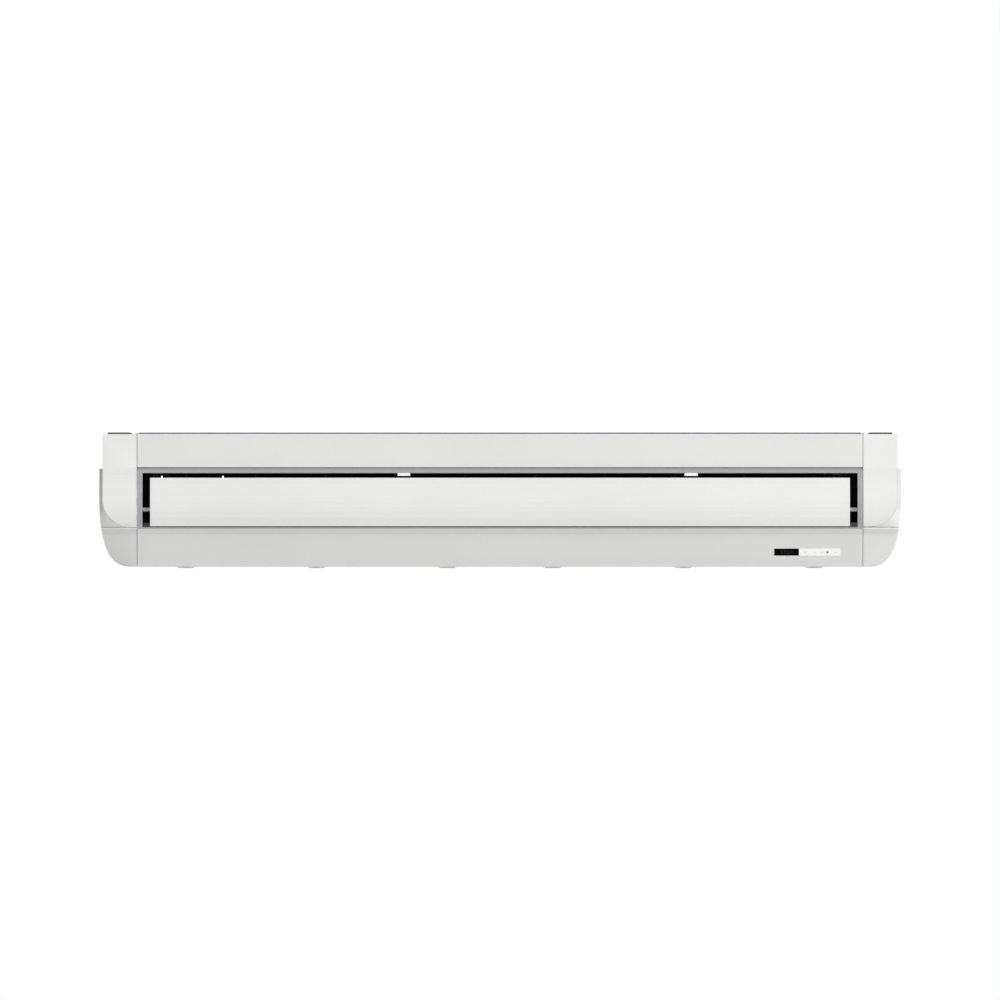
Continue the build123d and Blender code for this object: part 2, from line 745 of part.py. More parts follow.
def coil_fins():
    """Fin pack on a slant, grooved across its front and back, with the tube holes."""
    fins = coil_slab(-COIL_HALF, COIL_HALF, COIL_DEEP, COIL_TALL)
    depth = 3.0
    grooves = []
    count = int(2 * COIL_HALF / FIN_GROOVE_PITCH) - 1
    for i in range(count):
        x = -COIL_HALF + (i + 1) * FIN_GROOVE_PITCH
        ring = coil_slab(x, x + FIN_GROOVE, COIL_DEEP + 2, COIL_TALL + 2)
        core = coil_slab(x - 1, x + FIN_GROOVE + 1, COIL_DEEP - 2 * depth, COIL_TALL + 4)
        grooves.append(ring - core)
    fins -= grooves
    for row in tube_places():
        for y, drop in row:
            fins -= rod(-COIL_HALF - 1, COIL_HALF + 1, y, drop, TUBE_R)
    return fins


def coil_end_plates():
    """Two pressed plates that hold the fin pack, with a foot that meets each side plate."""
    plates = []
    for side in (-1, 1):
        x0, x1 = side * COIL_HALF, side * (COIL_HALF + COIL_PLATE)
        plate = coil_slab(min(x0, x1), max(x0, x1), COIL_DEEP + 10, COIL_TALL + 4)
        y, drop = coil_place(0, -COIL_TALL / 2 - 2)
        edge = COIL_DEEP / 4
        top_drop = drop - 6
        foot = block(
            x0, side * SIDE_PLATE_X, y - edge, y + edge, top_drop, top_drop + COIL_PLATE
        )
        web = block(x0, x1, y - edge, y + edge, top_drop, drop + edge)
        plate = plate + foot + web
        for row in tube_places():
            for ty, td in row:
                plate -= rod(x0, x1, ty, td, TUBE_R)
        plates.append(plate)
    return plates


def coil_tubes():
    """Copper tubes through the fins, joined by return bends at both ends."""
    solids = None
    end = COIL_HALF + COIL_PLATE + 4
    for row in tube_places():
        for y, drop in row:
            tube = rod(-end, end, y, drop, TUBE_R)
            solids = tube if solids is None else solids + tube
        for side, start in ((1, 0), (-1, 1)):
            for i in range(start, TUBES_PER_ROW - 1, 2):
                solids += return_bend(side, end, row[i], row[i + 1])
    rows = tube_places()
    first = [row[0] for row in rows]
    solids += return_bend(-1, end, first[0], first[1])
    return solids


def return_bend(side, end, a, b):
    """A half ring that joins two neighbouring tubes."""
    ay, az, by, bz = a[0], -a[1], b[0], -b[1]
    reach = math.hypot(by - ay, bz - az) / 2
    path = ThreePointArc(
        (side * end, ay, az),
        (side * (end + reach), (ay + by) / 2, (az + bz) / 2),
        (side * end, by, bz),
    )
    section = Plane(origin=(side * end, ay, az), z_dir=(side, 0, 0)) * Circle(TUBE_R)
    return sweep(section, path=path)


def drain_pan():
    """Long tray under the coil, with a spout that runs back along the left end."""
    half = SIDE_PLATE_X - GAP
    pan = block(-half, half, PAN_FRONT_Y, PAN_REAR_Y, PAN_TOP_DROP, PAN_BOTTOM_DROP)
    pan -= block(
        -half + PAN_WALL,
        half - PAN_WALL,
        PAN_FRONT_Y + PAN_WALL,
        PAN_REAR_Y - PAN_WALL,
        PAN_TOP_DROP,
        PAN_BOTTOM_DROP - PAN_WALL,
    )
    y, drop = spout_y(), spout_drop()
    pan += rod(-half + 1, -SPOUT_X - SPOUT_ROOT_R, y, drop, SPOUT_ROOT_R)
    pan += bar_along_y(-SPOUT_X, y - SPOUT_ROOT_R, y + SPOUT_R + 1, drop, SPOUT_ROOT_R)
    pan += bar_along_y(-SPOUT_X, y + SPOUT_R + 1, SPOUT_END_Y, drop, SPOUT_R)
    pan -= rod(-half + PAN_WALL + 1, -SPOUT_X, y, drop, SPOUT_BORE_R)
    pan -= bar_along_y(-SPOUT_X, y, SPOUT_END_Y, drop, SPOUT_BORE_R)
    return pan


def spout_y():
    """Y place where the drain spout crosses the left side plate."""
    return PAN_REAR_Y - PAN_WALL - SPOUT_R - 4


def spout_drop():
    """Drop of the drain spout's axis."""
    return PAN_BOTTOM_DROP - PAN_WALL - SPOUT_R


def pipe_run(drop, spigot_r):
    """One pipe from the coil's left end to the rear, swaged up to the line's size at its end."""
    radius = spigot_r - SWAGE
    bend = 3 * spigot_r
    y = header_y()
    start = -COIL_HALF - COIL_PLATE - 30
    corner = -PIPE_X + bend
    across = rod(start, corner, y, drop, radius)
    half_turn = bend * math.sin(math.pi / 4)
    path = ThreePointArc(
        (corner, y, -drop),
        (corner - half_turn, y + bend - half_turn, -drop),
        (-PIPE_X, y + bend, -drop),
    )
    section = Plane(origin=(corner, y, -drop), z_dir=(-1, 0, 0)) * Circle(radius)
    elbow = sweep(section, path=path)
    spigot_y = PIPE_END_Y - SPIGOT_LENGTH
    back = bar_along_y(-PIPE_X, y + bend, spigot_y, drop, radius)
    spigot = bar_along_y(-PIPE_X, spigot_y, PIPE_END_Y, drop, spigot_r)
    return across + elbow + back + spigot


def refrigerant_pipes():
    """The wide gas pipe and the narrow liquid pipe."""
    return [pipe_run(GAS_DROP, GAS_R), pipe_run(LIQUID_DROP, LIQUID_R)]


def flare_nuts():
    """Six-sided nuts behind the two pipe ends."""
    nuts = []
    for drop, spigot_r in ((GAS_DROP, GAS_R), (LIQUID_DROP, LIQUID_R)):
        y1 = PIPE_END_Y - SPIGOT_LENGTH
        y0 = y1 - NUT_LENGTH
        hexagon = extrude(RegularPolygon(spigot_r + 5, 6), NUT_LENGTH)
        nut = Pos(-PIPE_X, y1, -drop) * Rot(90, 0, 0) * hexagon
        nuts.append(nut - bar_along_y(-PIPE_X, y0 - 1, y1 + 1, drop, spigot_r - SWAGE))
    return nuts


# Blowers
def fan_deck():
    """Upright partition between the blowers and the coil, with a window for each throat."""
    deck = block(
        -SIDE_PLATE_X, SIDE_PLATE_X, DECK_Y, DECK_Y + PLATE, STEEL, DECK_BOTTOM_DROP
    )
    for x in WHEEL_X:
        inner = SCROLL_HALF - SCROLL_WALL
        deck -= block(
            x - inner,
            x + inner,
            DECK_Y - 1,
            DECK_Y + PLATE + 1,
            THROAT_TOP_DROP + SCROLL_WALL,
            THROAT_BOTTOM_DROP - SCROLL_WALL,
        )
    return deck


def scroll_housing(x):
    """One double-inlet scroll with a throat that meets the partition."""
    x0, x1 = x - SCROLL_HALF, x + SCROLL_HALF
    deck = DECK_Y + PLATE
    drum = rod(x0, x1, SHAFT_Y, SHAFT_DROP, SCROLL_R)
    throat = block(x0, x1, deck, SHAFT_Y, THROAT_TOP_DROP, THROAT_BOTTOM_DROP)
    wall = SCROLL_WALL
    hollow = rod(x0 + wall, x1 - wall, SHAFT_Y, SHAFT_DROP, SCROLL_R - wall)
    hollow += block(
        x0 + wall,
        x1 - wall,
        deck,
        SHAFT_Y,
        THROAT_TOP_DROP + wall,
        THROAT_BOTTOM_DROP - wall,
    )
    return drum + throat - hollow - rod(x0 - 1, x1 + 1, SHAFT_Y, SHAFT_DROP, INLET_R)


def scroll_housings():
    """The four scrolls."""
    return [scroll_housing(x) for x in WHEEL_X]


def blower_wheel(x):
    """One double-inlet wheel: a centre disc, a hub, two end rings and upright blades."""
    x0, x1 = x - WHEEL_HALF, x + WHEEL_HALF
    wheel = rod(x - 1, x + 1, SHAFT_Y, SHAFT_DROP, WHEEL_R)
    wheel += rod(x - 12, x + 12, SHAFT_Y, SHAFT_DROP, HUB_R)
    bore = rod(x0 - 1, x1 + 1, SHAFT_Y, SHAFT_DROP, WHEEL_INNER_R)
    for start in (x0, x1 - WHEEL_RING):
        wheel += rod(start, start + WHEEL_RING, SHAFT_Y, SHAFT_DROP, WHEEL_R) - bore
    chord = WHEEL_R - WHEEL_INNER_R - 2
    middle = (WHEEL_R + WHEEL_INNER_R) / 2
    blades = []
    for i in range(WHEEL_BLADES):
        angle = 360 * i / WHEEL_BLADES
        blade = Pos(x, SHAFT_Y, -SHAFT_DROP) * Rot(angle, 0, 0) * Pos(0, 0, middle)
        blades.append(blade * Rot(30, 0, 0) * Box(2 * WHEEL_HALF - 2, BLADE_THICK, chord))
    wheel += blades
    return wheel - rod(x0 - 1, x1 + 1, SHAFT_Y, SHAFT_DROP, SHAFT_R)


def blower_wheels():
    """The four wheels."""
    return [blower_wheel(x) for x in WHEEL_X]


def fan_shaft():
    """One steel shaft through the motor and all four wheels."""
    return rod(-SHAFT_HALF, SHAFT_HALF, SHAFT_Y, SHAFT_DROP, SHAFT_R)


def fan_motor():
    """Motor in the middle of the shaft, with a boss at each end."""
    motor = rod(-MOTOR_HALF, MOTOR_HALF, SHAFT_Y, SHAFT_DROP, MOTOR_R)
    motor += rod(-MOTOR_HALF - 10, MOTOR_HALF + 10, SHAFT_Y, SHAFT_DROP, HUB_R)
    return motor - rod(-SHAFT_HALF, SHAFT_HALF, SHAFT_Y, SHAFT_DROP, SHAFT_R + RUN)


def motor_clamp():
    """Two straps round the motor, on arms that are fixed to the partition."""
    straps = []
    for side in (-1, 1):
        x = side * (MOTOR_HALF - CLAMP_WIDTH / 2 - 6)
        x0, x1 = x - CLAMP_WIDTH / 2, x + CLAMP_WIDTH / 2
        outer = rod(x0, x1, SHAFT_Y, SHAFT_DROP, MOTOR_R + CLAMP_STRAP)
        arm = block(x0, x1, DECK_Y + PLATE, SHAFT_Y, SHAFT_DROP - 20, SHAFT_DROP + 20)
        strap = outer + arm - rod(x0, x1, SHAFT_Y, SHAFT_DROP, MOTOR_R)
        straps.append(strap)
    return straps


def end_bearings():
    """A bearing block at each end of the shaft, against the side plates."""
    blocks = []
    for side in (-1, 1):
        x0, x1 = side * (SHAFT_HALF - 16), side * SIDE_PLATE_X
        ring = rod(x0, x1, SHAFT_Y, SHAFT_DROP, BEARING_R)
        flange = rod(side * (SIDE_PLATE_X - 3), x1, SHAFT_Y, SHAFT_DROP, BEARING_R + 10)
        bore = rod(x0, side * (SHAFT_HALF + 2), SHAFT_Y, SHAFT_DROP, SHAFT_R + RUN)
        blocks.append(ring + flange - bore)
    return blocks


# Electric box in the right end
def electric_box():
    """Open steel box on the right side plate."""
    x0 = SIDE_PLATE_X + PLATE
    x1 = x0 + BOX_DEEP
    tray = block(x0, x1, BOX_FRONT_Y, BOX_REAR_Y, BOX_TOP_DROP, BOX_BOTTOM_DROP)
    return tray - block(
        x0 + STEEL,
        x1,
        BOX_FRONT_Y + STEEL,
        BOX_REAR_Y - STEEL,
        BOX_TOP_DROP + STEEL,
        BOX_BOTTOM_DROP - STEEL,
    )


def electric_box_cover():
    """Flat lid of the electric box."""
    x0 = SIDE_PLATE_X + PLATE + BOX_DEEP
    return block(x0, x0 + STEEL, BOX_FRONT_Y, BOX_REAR_Y, BOX_TOP_DROP, BOX_BOTTOM_DROP)


def board_face():
    """X place of the control board's outer face."""
    return SIDE_PLATE_X + PLATE + STEEL + 6 + 1.6


def control_board():
    """Circuit board on six feet, with a transformer, a relay and a chip."""
    face = board_face()
    floor = SIDE_PLATE_X + PLATE + STEEL
    y0, y1 = BOX_FRONT_Y + 10, BOX_REAR_Y - 90
    top, bottom = BOX_TOP_DROP + 10, BOX_BOTTOM_DROP - 10
    board = block(face - 1.6, face, y0, y1, top, bottom)
    for y in (y0 + 6, (y0 + y1) / 2, y1 - 6):
        for drop in (top + 6, bottom - 6):
            board += rod(floor, face - 1.6, y, drop, 3)
    board += block(face, face + 24, y0 + 12, y0 + 52, top + 14, top + 54)
    board += block(face, face + 16, y0 + 66, y0 + 84, top + 16, top + 36)
    board += block(face, face + 3, y0 + 96, y0 + 122, top + 44, top + 62)
    return board


def terminal_block():
    """Screw terminals on a moulded base, in a row of five."""
    floor = SIDE_PLATE_X + PLATE + STEEL
    y0, y1 = BOX_REAR_Y - 80, BOX_REAR_Y - 12
    top = BOX_BOTTOM_DROP - 40
    base = block(floor, floor + 10, y0, y1, top, top + 24)
    pitch = (y1 - y0) / 5
    for i in range(6):
        y = y0 + i * pitch
        base += block(floor, floor + 16, max(y - 1, y0), min(y + 1, y1), top, top + 24)
    for i in range(5):
        base += rod(floor + 10, floor + 12, y0 + (i + 0.5) * pitch, top + 12, 3.5)
    return base


def capacitor():
    """Flat run capacitor for the fan motor."""
    floor = SIDE_PLATE_X + PLATE + STEEL
    y0 = BOX_REAR_Y - 72
    return block(floor, floor + 22, y0, y0 + 46, BOX_TOP_DROP + 16, BOX_TOP_DROP + 46)


def cable_grommet():
    """Rubber ring in the rear wall of the right side shell."""
    outer = bar_along_y(GROMMET_X, REAR_Y, REAR_Y + 2, GROMMET_DROP, GROMMET_R)
    neck = bar_along_y(GROMMET_X, REAR_Y - WALL, REAR_Y, GROMMET_DROP, GROMMET_R - 2)
    inner = bar_along_y(GROMMET_X, REAR_Y - WALL - 2, REAR_Y - WALL, GROMMET_DROP, GROMMET_R)
    bore = bar_along_y(
        GROMMET_X, REAR_Y - WALL - 3, REAR_Y + 3, GROMMET_DROP, GROMMET_BORE_R
    )
    return outer + neck + inner - bore


# Display on the slope
def display_window():
    """Dark window of the number display."""
    return slope_box(*DISPLAY_X, window_height(), WINDOW_THICK, 0.2)


def indicator_window():
    """White window with the small push button's hole."""
    plane = slope_plane(BUTTON_X)
    hole = plane * Pos(0, 0, 0) * Cylinder(BUTTON_R + GAP, 4 * WINDOW_THICK)
    return slope_box(*INDICATOR_X, window_height(), WINDOW_THICK, 0.2) - hole


def auto_button():
    """Small round push button."""
    plane = slope_plane(BUTTON_X)
    above = BUTTON_TRAVEL + 0.4
    return plane * Pos(0, 0, above - BUTTON_LENGTH / 2) * Cylinder(BUTTON_R, BUTTON_LENGTH)


def display_board():
    """Circuit board behind the windows, on two ledges, with the switch under the button."""
    back = WINDOW_THICK
    board_top = back + 2.2
    x0, x1 = DISPLAY_X[0] - 6, INDICATOR_X[1] + 6
    middle = (x0 + x1) / 2
    plane = slope_plane(middle)
    wide = window_height() - 2
    board = plane * Pos(0, 0, -board_top - 0.8) * Box(x1 - x0, wide, 1.6)
    for x in (DISPLAY_X[0] + 4, (DISPLAY_X[1] + INDICATOR_X[0]) / 2 + 12, INDICATOR_X[1] - 4):
        pad_long = board_top - back
        board += slope_plane(x) * Pos(0, 0, -back - pad_long / 2) * Box(5, wide - 4, pad_long)
    return board


# Underside
def grille_slots(x0, x1):
    """The air slots of one grille, in rows that the bay bars part."""
    bay = (x1 - x0 - 2 * GRILLE_BORDER - (GRILLE_BAYS - 1) * BAY_BAR) / GRILLE_BAYS
    front = GRILLE_FRONT_Y + GRILLE_BORDER + LATCH_LENGTH
    rear = HINGE_Y - GRILLE_BORDER
    rows = int((rear - front) / SLAT_PITCH)
    slots = []
    for column in range(GRILLE_BAYS):
        start = x0 + GRILLE_BORDER + column * (bay + BAY_BAR)
        for row in range(rows):
            y = front + row * SLAT_PITCH
            slots.append(
                block(start, start + bay, y, y + SLOT_WIDTH, HEIGHT - GRILLE_THICK - 1, HEIGHT + 1)
            )
    return slots


def intake_grille(side):
    """One hinged intake grille with its latch slots and hinge pins."""
    x0, x1 = sorted((side * GRILLE_IN, side * GRILLE_OUT))
    top = HEIGHT - GRILLE_THICK
    grille = block(x0, x1, GRILLE_FRONT_Y, HINGE_Y, top, HEIGHT)
    barrel = GRILLE_THICK - (HEIGHT - HINGE_DROP)
    barrel = min(barrel, HEIGHT - HINGE_DROP) + 1.0
    grille += rod(x0, x1, HINGE_Y, HINGE_DROP, barrel)
    grille -= block(x0 - 1, x1 + 1, HINGE_Y - 9, HINGE_Y + 9, HEIGHT, HEIGHT + 9)
    grille -= grille_slots(x0, x1)
    for x in LATCH_X:
        grille -= latch_slot(side * x)
    grille += rod(x0 - HINGE_PIN_LENGTH, x1 + HINGE_PIN_LENGTH, HINGE_Y, HINGE_DROP, HINGE_PIN_R)
    return grille


def latch_slot(x):
    """Room for a latch stem and its travel through the grille."""
    half = STEM_WIDTH / 2 + GAP
    y0 = LATCH_Y - STEM_LENGTH / 2 - GAP
    y1 = LATCH_Y + STEM_LENGTH / 2 + LATCH_TRAVEL + GAP
    return block(x - half, x + half, y0, y1, HEIGHT - GRILLE_THICK - 1, HEIGHT + 1)


def grille_latch(x):
    """Domed thumb latch: pad below the grille, stem through it and a keeper above."""
    half_x, half_y = LATCH_WIDTH / 2, LATCH_LENGTH / 2
    pad = Pos(x, LATCH_Y, -(HEIGHT + LATCH_PROUD / 2 + GAP / 2)) * Box(
        LATCH_WIDTH, LATCH_LENGTH, LATCH_PROUD - GAP
    )
    lower = pad.faces().sort_by(Axis.Z)[0].edges()
    pad = chamfer(lower, LATCH_PROUD - 2 * GAP, length2=half_y / 3)
    stem = block(
        x - STEM_WIDTH / 2,
        x + STEM_WIDTH / 2,
        LATCH_Y - STEM_LENGTH / 2,
        LATCH_Y + STEM_LENGTH / 2,
        HEIGHT - GRILLE_THICK - GAP - 2,
        HEIGHT + GAP,
    )
    keeper = block(
        x - half_x,
        x + half_x,
        GRILLE_FRONT_Y - 0.5,
        LATCH_Y + STEM_LENGTH / 2,
        HEIGHT - GRILLE_THICK - GAP - 2,
        HEIGHT - GRILLE_THICK - GAP,
    )
    return pad + stem + keeper


def filter_screen(side):
    """Washable mesh filter in a thin frame, lying on its grille."""
    x0, x1 = sorted((side * (GRILLE_IN + 12), side * (GRILLE_OUT - 12)))
    y0 = LATCH_Y + LATCH_LENGTH / 2 + LATCH_TRAVEL + 4
    y1 = HINGE_Y - 14
    bottom = HEIGHT - GRILLE_THICK
    top = bottom - FILTER_THICK
    screen = block(x0, x1, y0, y1, top, bottom)
    cell_x = (x1 - x0 - 2 * FILTER_BORDER + FILTER_BAR) / FILTER_CELLS_X - FILTER_BAR
    cell_y = (y1 - y0 - 2 * FILTER_BORDER + FILTER_BAR) / FILTER_CELLS_Y - FILTER_BAR
    wells = []
    for i in range(FILTER_CELLS_X):
        for j in range(FILTER_CELLS_Y):
            cx = x0 + FILTER_BORDER + i * (cell_x + FILTER_BAR)
            cy = y0 + FILTER_BORDER + j * (cell_y + FILTER_BAR)
            wells.append(block(cx, cx + cell_x, cy, cy + cell_y, top, bottom - 0.8))
    return screen - wells


def solids_of(shape):
    """All the solids of a shape or of a list of shapes."""
    shapes = shape if isinstance(shape, (list, tuple)) else [shape]
    return [solid for item in shapes for solid in item.solids()]


def build_nodes():
    """Every named piece of the unit."""
    right_cover = end_cover_right()
    nodes = {
        "top_plate": top_plate(),
        "rear_plate": rear_plate(),
        "side_plates": side_plates(),
        "hanger_brackets": hanger_brackets(),
        "front_top_panel": front_top_panel(),
        "lower_front_panel": lower_front_panel(),
        "end_cover_left": mirror(right_cover, about=Plane.YZ),
        "end_cover_right": right_cover,
        "side_shell_left": side_shell_left(),
        "side_shell_right": side_shell_right(),
        "outlet_frame": outlet_frame(),
        "outlet_duct": outlet_duct(),
        "flap": flap(),
        "flap_pins": flap_pins(),
        "flap_motor": flap_motor(),
        "vane_link_left": link_bar(-1),
        "vane_link_right": link_bar(1),
        "coil_fins": coil_fins(),
        "coil_end_plates": coil_end_plates(),
        "coil_tubes": coil_tubes(),
        "drain_pan": drain_pan(),
        "refrigerant_pipes": refrigerant_pipes(),
        "flare_nuts": flare_nuts(),
        "fan_deck": fan_deck(),
        "scroll_housings": scroll_housings(),
        "blower_wheels": blower_wheels(),
        "fan_shaft": fan_shaft(),
        "fan_motor": fan_motor(),
        "motor_clamp": motor_clamp(),
        "end_bearings": end_bearings(),
        "electric_box": electric_box(),
        "electric_box_cover": electric_box_cover(),
        "control_board": control_board(),
        "terminal_block": terminal_block(),
        "capacitor": capacitor(),
        "cable_grommet": cable_grommet(),
        "display_board": display_board(),
        "display_window": display_window(),
        "indicator_window": indicator_window(),
        "auto_button": auto_button(),
        "intake_grille_left": intake_grille(-1),
        "intake_grille_right": intake_grille(1),
        "filter_left": filter_screen(-1),
        "filter_right": filter_screen(1),
    }
    for number, x in enumerate(vane_places(), start=1):
        nodes[f"vane_{number}"] = vane(x)
    for side, word in ((-1, "left"), (1, "right")):
        for number, x in enumerate(LATCH_X, start=1):
            nodes[f"latch_{word}_{number}"] = grille_latch(side * x)
    return nodes


def main():
    """Write one STEP file for each piece."""
    os.makedirs("parts", exist_ok=True)
    for name, shape in build_nodes().items():
        export_step(Compound(children=solids_of(shape)), f"parts/{name}.step")


main()
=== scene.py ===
"""Looks of a ceiling-hung floor-ceiling air conditioner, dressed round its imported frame."""

import json
import logging
import math
from collections.abc import Callable
from dataclasses import dataclass, field
from enum import Enum

import bmesh
import bpy
from mathutils import Matrix, Vector

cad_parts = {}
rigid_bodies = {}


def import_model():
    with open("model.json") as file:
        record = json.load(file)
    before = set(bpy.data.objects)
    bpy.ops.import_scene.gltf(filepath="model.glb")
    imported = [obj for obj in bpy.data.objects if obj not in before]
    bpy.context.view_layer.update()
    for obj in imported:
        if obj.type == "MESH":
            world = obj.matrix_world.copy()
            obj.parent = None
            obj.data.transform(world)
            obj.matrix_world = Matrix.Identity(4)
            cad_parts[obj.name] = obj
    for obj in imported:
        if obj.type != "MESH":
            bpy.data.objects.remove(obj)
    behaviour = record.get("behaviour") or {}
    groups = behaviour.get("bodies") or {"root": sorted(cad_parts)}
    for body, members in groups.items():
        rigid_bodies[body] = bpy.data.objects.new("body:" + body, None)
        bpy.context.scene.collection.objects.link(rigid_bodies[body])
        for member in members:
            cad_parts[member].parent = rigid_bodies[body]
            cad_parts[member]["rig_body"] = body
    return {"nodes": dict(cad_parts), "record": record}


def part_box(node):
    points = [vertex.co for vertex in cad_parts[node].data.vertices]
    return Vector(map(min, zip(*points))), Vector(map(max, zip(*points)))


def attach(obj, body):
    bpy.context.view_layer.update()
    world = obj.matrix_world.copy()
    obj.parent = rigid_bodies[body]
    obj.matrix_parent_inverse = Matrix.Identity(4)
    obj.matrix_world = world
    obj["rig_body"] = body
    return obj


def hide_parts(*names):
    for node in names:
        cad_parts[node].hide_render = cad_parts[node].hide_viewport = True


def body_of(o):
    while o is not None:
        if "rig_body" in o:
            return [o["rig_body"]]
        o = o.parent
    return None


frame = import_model()

LOG = logging.getLogger("air_conditioner")
MM = 0.001
# The frame is this many pixels wide and high.
PIXELS = 1000
# Edges that turn by more degrees than this are rounded and keep their crease.
FOLD = 35
# Points closer than this, in metres, are one point.
MERGE = 1e-5
WHITE = (1.0, 1.0, 1.0, 1.0)
# Patches per metre in which a surface's colour, and its gloss, wander slowly.
CLOUDS = 4.0
WEAR = 18.0
# Nearly all values of a noise pattern lie between these.
NOISE = (0.3, 0.7)
# Share of a grain's height that bends the light.
RELIEF = 0.6

Mesh = bmesh.types.BMesh
Piece = bpy.types.Object
Socket = bpy.types.NodeSocket
Tree = bpy.types.NodeTree


def linear(hex_colour: str) -> tuple[float, float, float, float]:
    """Turn an sRGB hex colour into linear values.

    Args:
        hex_colour: six hex digits, such as "e8e8e6".

    Returns:
        Linear red, green and blue, with an alpha of 1.
    """
    parts = [int(hex_colour[i : i + 2], 16) / 255 for i in (0, 2, 4)]
    made = [c / 12.92 if c <= 0.04045 else ((c + 0.055) / 1.055) ** 2.4 for c in parts]
    return (*made, 1.0)


def add_node(
    tree: Tree, kind: str, links: dict | None = None, **settings: object
) -> bpy.types.Node:
    """Add one node with its settings, socket values and links.

    Args:
        tree: the node tree that gets the node.
        kind: Blender's name for the node's type.
        links: socket names, each with a value or with the output socket to join.
        settings: attributes of the node itself.

    Returns:
        The new node.
    """
    node = tree.nodes.new(kind)
    for name, value in settings.items():
        setattr(node, name, value)
    for name, value in (links or {}).items():
        socket = node.inputs[name]
        if isinstance(value, Socket):
            tree.links.new(value, socket)
        else:
            socket.default_value = value
    return node


class Grain(Enum):
    """Kinds of surface pattern that a finish can carry."""

    MOULDED = "fine spark-eroded texture of a moulding tool"
    POWDER = "slight orange peel of powder coat"
    ROLLED = "lengthwise lines of rolled sheet"
    SPANGLE = "large zinc crystals of galvanised sheet"
    FOAM = "small beads of expanded foam"
    PLAIN = "near smooth"


@dataclass(frozen=True)
class Finish:
    """One material: what it is, how it was made and what that gives the eye.

    Args:
        name: the maker's plain words for the material.
        colour: sRGB hex of its middle colour.
        roughness: middle roughness.
        metallic: 1 for bare metal.
        ior: refraction index of a plastic or a coat.
        grain: kind of surface pattern.
        grain_mm: size of one grain, drawn as coarse as the render can show.
        depth_mm: height of the grain.
        tint: how far the colour wanders, as a share of its value.
        coat: clear coat weight.
        glow: strength of a faint light of its own, painted light on a part that is no lamp.
    """

    name: str
    colour: str
    roughness: float = 0.45
    metallic: float = 0.0
    ior: float = 1.5
    grain: Grain = Grain.MOULDED
    grain_mm: float = 0.9
    depth_mm: float = 0.02
    tint: float = 0.02
    coat: float = 0.0
    glow: float = 0.0

    def material(self) -> bpy.types.Material:
        """Make the material, or give back the one made before.

        Returns:
            The Blender material of this finish.
        """
        found = bpy.data.materials.get(self.name)
        if found:
            return found
        made = bpy.data.materials.new(self.name)
        made.use_nodes = True
        tree = made.node_tree
        tree.nodes.clear()
        where = add_node(tree, "ShaderNodeTexCoord").outputs["Object"]
        height = self._height(tree, where)
        relief = {"Height": height, "Strength": RELIEF, "Distance": self.depth_mm * MM}
        bump = add_node(tree, "ShaderNodeBump", relief)
        look = {
            "Base Color": self._colour(tree, where),
            "Roughness": self._roughness(tree, where),
            "Metallic": self.metallic,
            "IOR": self.ior,
            "Coat Weight": self.coat,
            "Normal": bump.outputs["Normal"],
        }
        shader = add_node(tree, "ShaderNodeBsdfPrincipled", look)
        # A glow is painted light: the part is no lamp.
        if self.glow:
            shader.inputs["Emission Color"].default_value = linear(self.colour)
            shader.inputs["Emission Strength"].default_value = self.glow
        add_node(tree, "ShaderNodeOutputMaterial", {"Surface": shader.outputs["BSDF"]})
        return made

    def _height(self, tree: Tree, where: Socket) -> Socket:
        """Build the grain's height pattern.

        Args:
            tree: the material's node tree.
            where: object coordinates.

        Returns:
            The output socket of the pattern.
        """
        per_metre = 1 / (self.grain_mm * MM)
        if self.grain is Grain.ROLLED:
            # Rolling draws each grain out to fifty times its width, along X.
            drawn = {"Vector": where, "Scale": (0.02, 1.0, 1.0)}
            where = add_node(tree, "ShaderNodeMapping", drawn).outputs["Vector"]
        if self.grain in (Grain.SPANGLE, Grain.FOAM):
            cells = {"Vector": where, "Scale": per_metre}
            return add_node(tree, "ShaderNodeTexVoronoi", cells).outputs["Distance"]
        grains = {"Vector": where, "Scale": per_metre, "Detail": 3.0, "Roughness": 0.6}
        return add_node(tree, "ShaderNodeTexNoise", grains).outputs["Fac"]

    def _colour(self, tree: Tree, where: Socket) -> Socket:
        """Let the colour wander a little over the surface.

        Args:
            tree: the material's node tree.
            where: object coordinates.

        Returns:
            The output socket of the colour.
        """
        if self.grain is Grain.SPANGLE:
            cells = {"Vector": where, "Scale": 1 / (self.grain_mm * MM)}
            crystal = add_node(tree, "ShaderNodeTexVoronoi", cells).outputs["Color"]
            slow = add_node(tree, "ShaderNodeRGBToBW", {"Color": crystal}).outputs["Val"]
        else:
            clouds = {"Vector": where, "Scale": CLOUDS, "Detail": 2.0, "Roughness": 0.5}
            slow = add_node(tree, "ShaderNodeTexNoise", clouds).outputs["Fac"]
        middle = linear(self.colour)
        ramp = add_node(tree, "ShaderNodeValToRGB", {"Fac": slow})
        for stop, sign, place in zip(ramp.color_ramp.elements, (-1, 1), NOISE):
            stop.color = (*[min(1.0, c * (1 + sign * self.tint)) for c in middle[:3]], 1.0)
            stop.position = place
        return ramp.outputs["Color"]

    def _roughness(self, tree: Tree, where: Socket) -> Socket:
        """Let the roughness wander, as handling and mould wear make it.

        Args:
            tree: the material's node tree.
            where: object coordinates.

        Returns:
            The output socket of the roughness.
        """
        clouds = {"Vector": where, "Scale": WEAR, "Detail": 4.0}
        wander = 0.05
        spread = {
            "Value": add_node(tree, "ShaderNodeTexNoise", clouds).outputs["Fac"],
            "From Min": NOISE[0],
            "From Max": NOISE[1],
            "To Min": max(0.02, self.roughness - wander),
            "To Max": min(1.0, self.roughness + wander),
        }
        return add_node(tree, "ShaderNodeMapRange", spread).outputs["Result"]


@dataclass(frozen=True)
class Metal(Finish):
    """A bare metal, with the fine lines of its rolling, drawing or turning."""

    metallic: float = 1.0
    grain: Grain = Grain.ROLLED


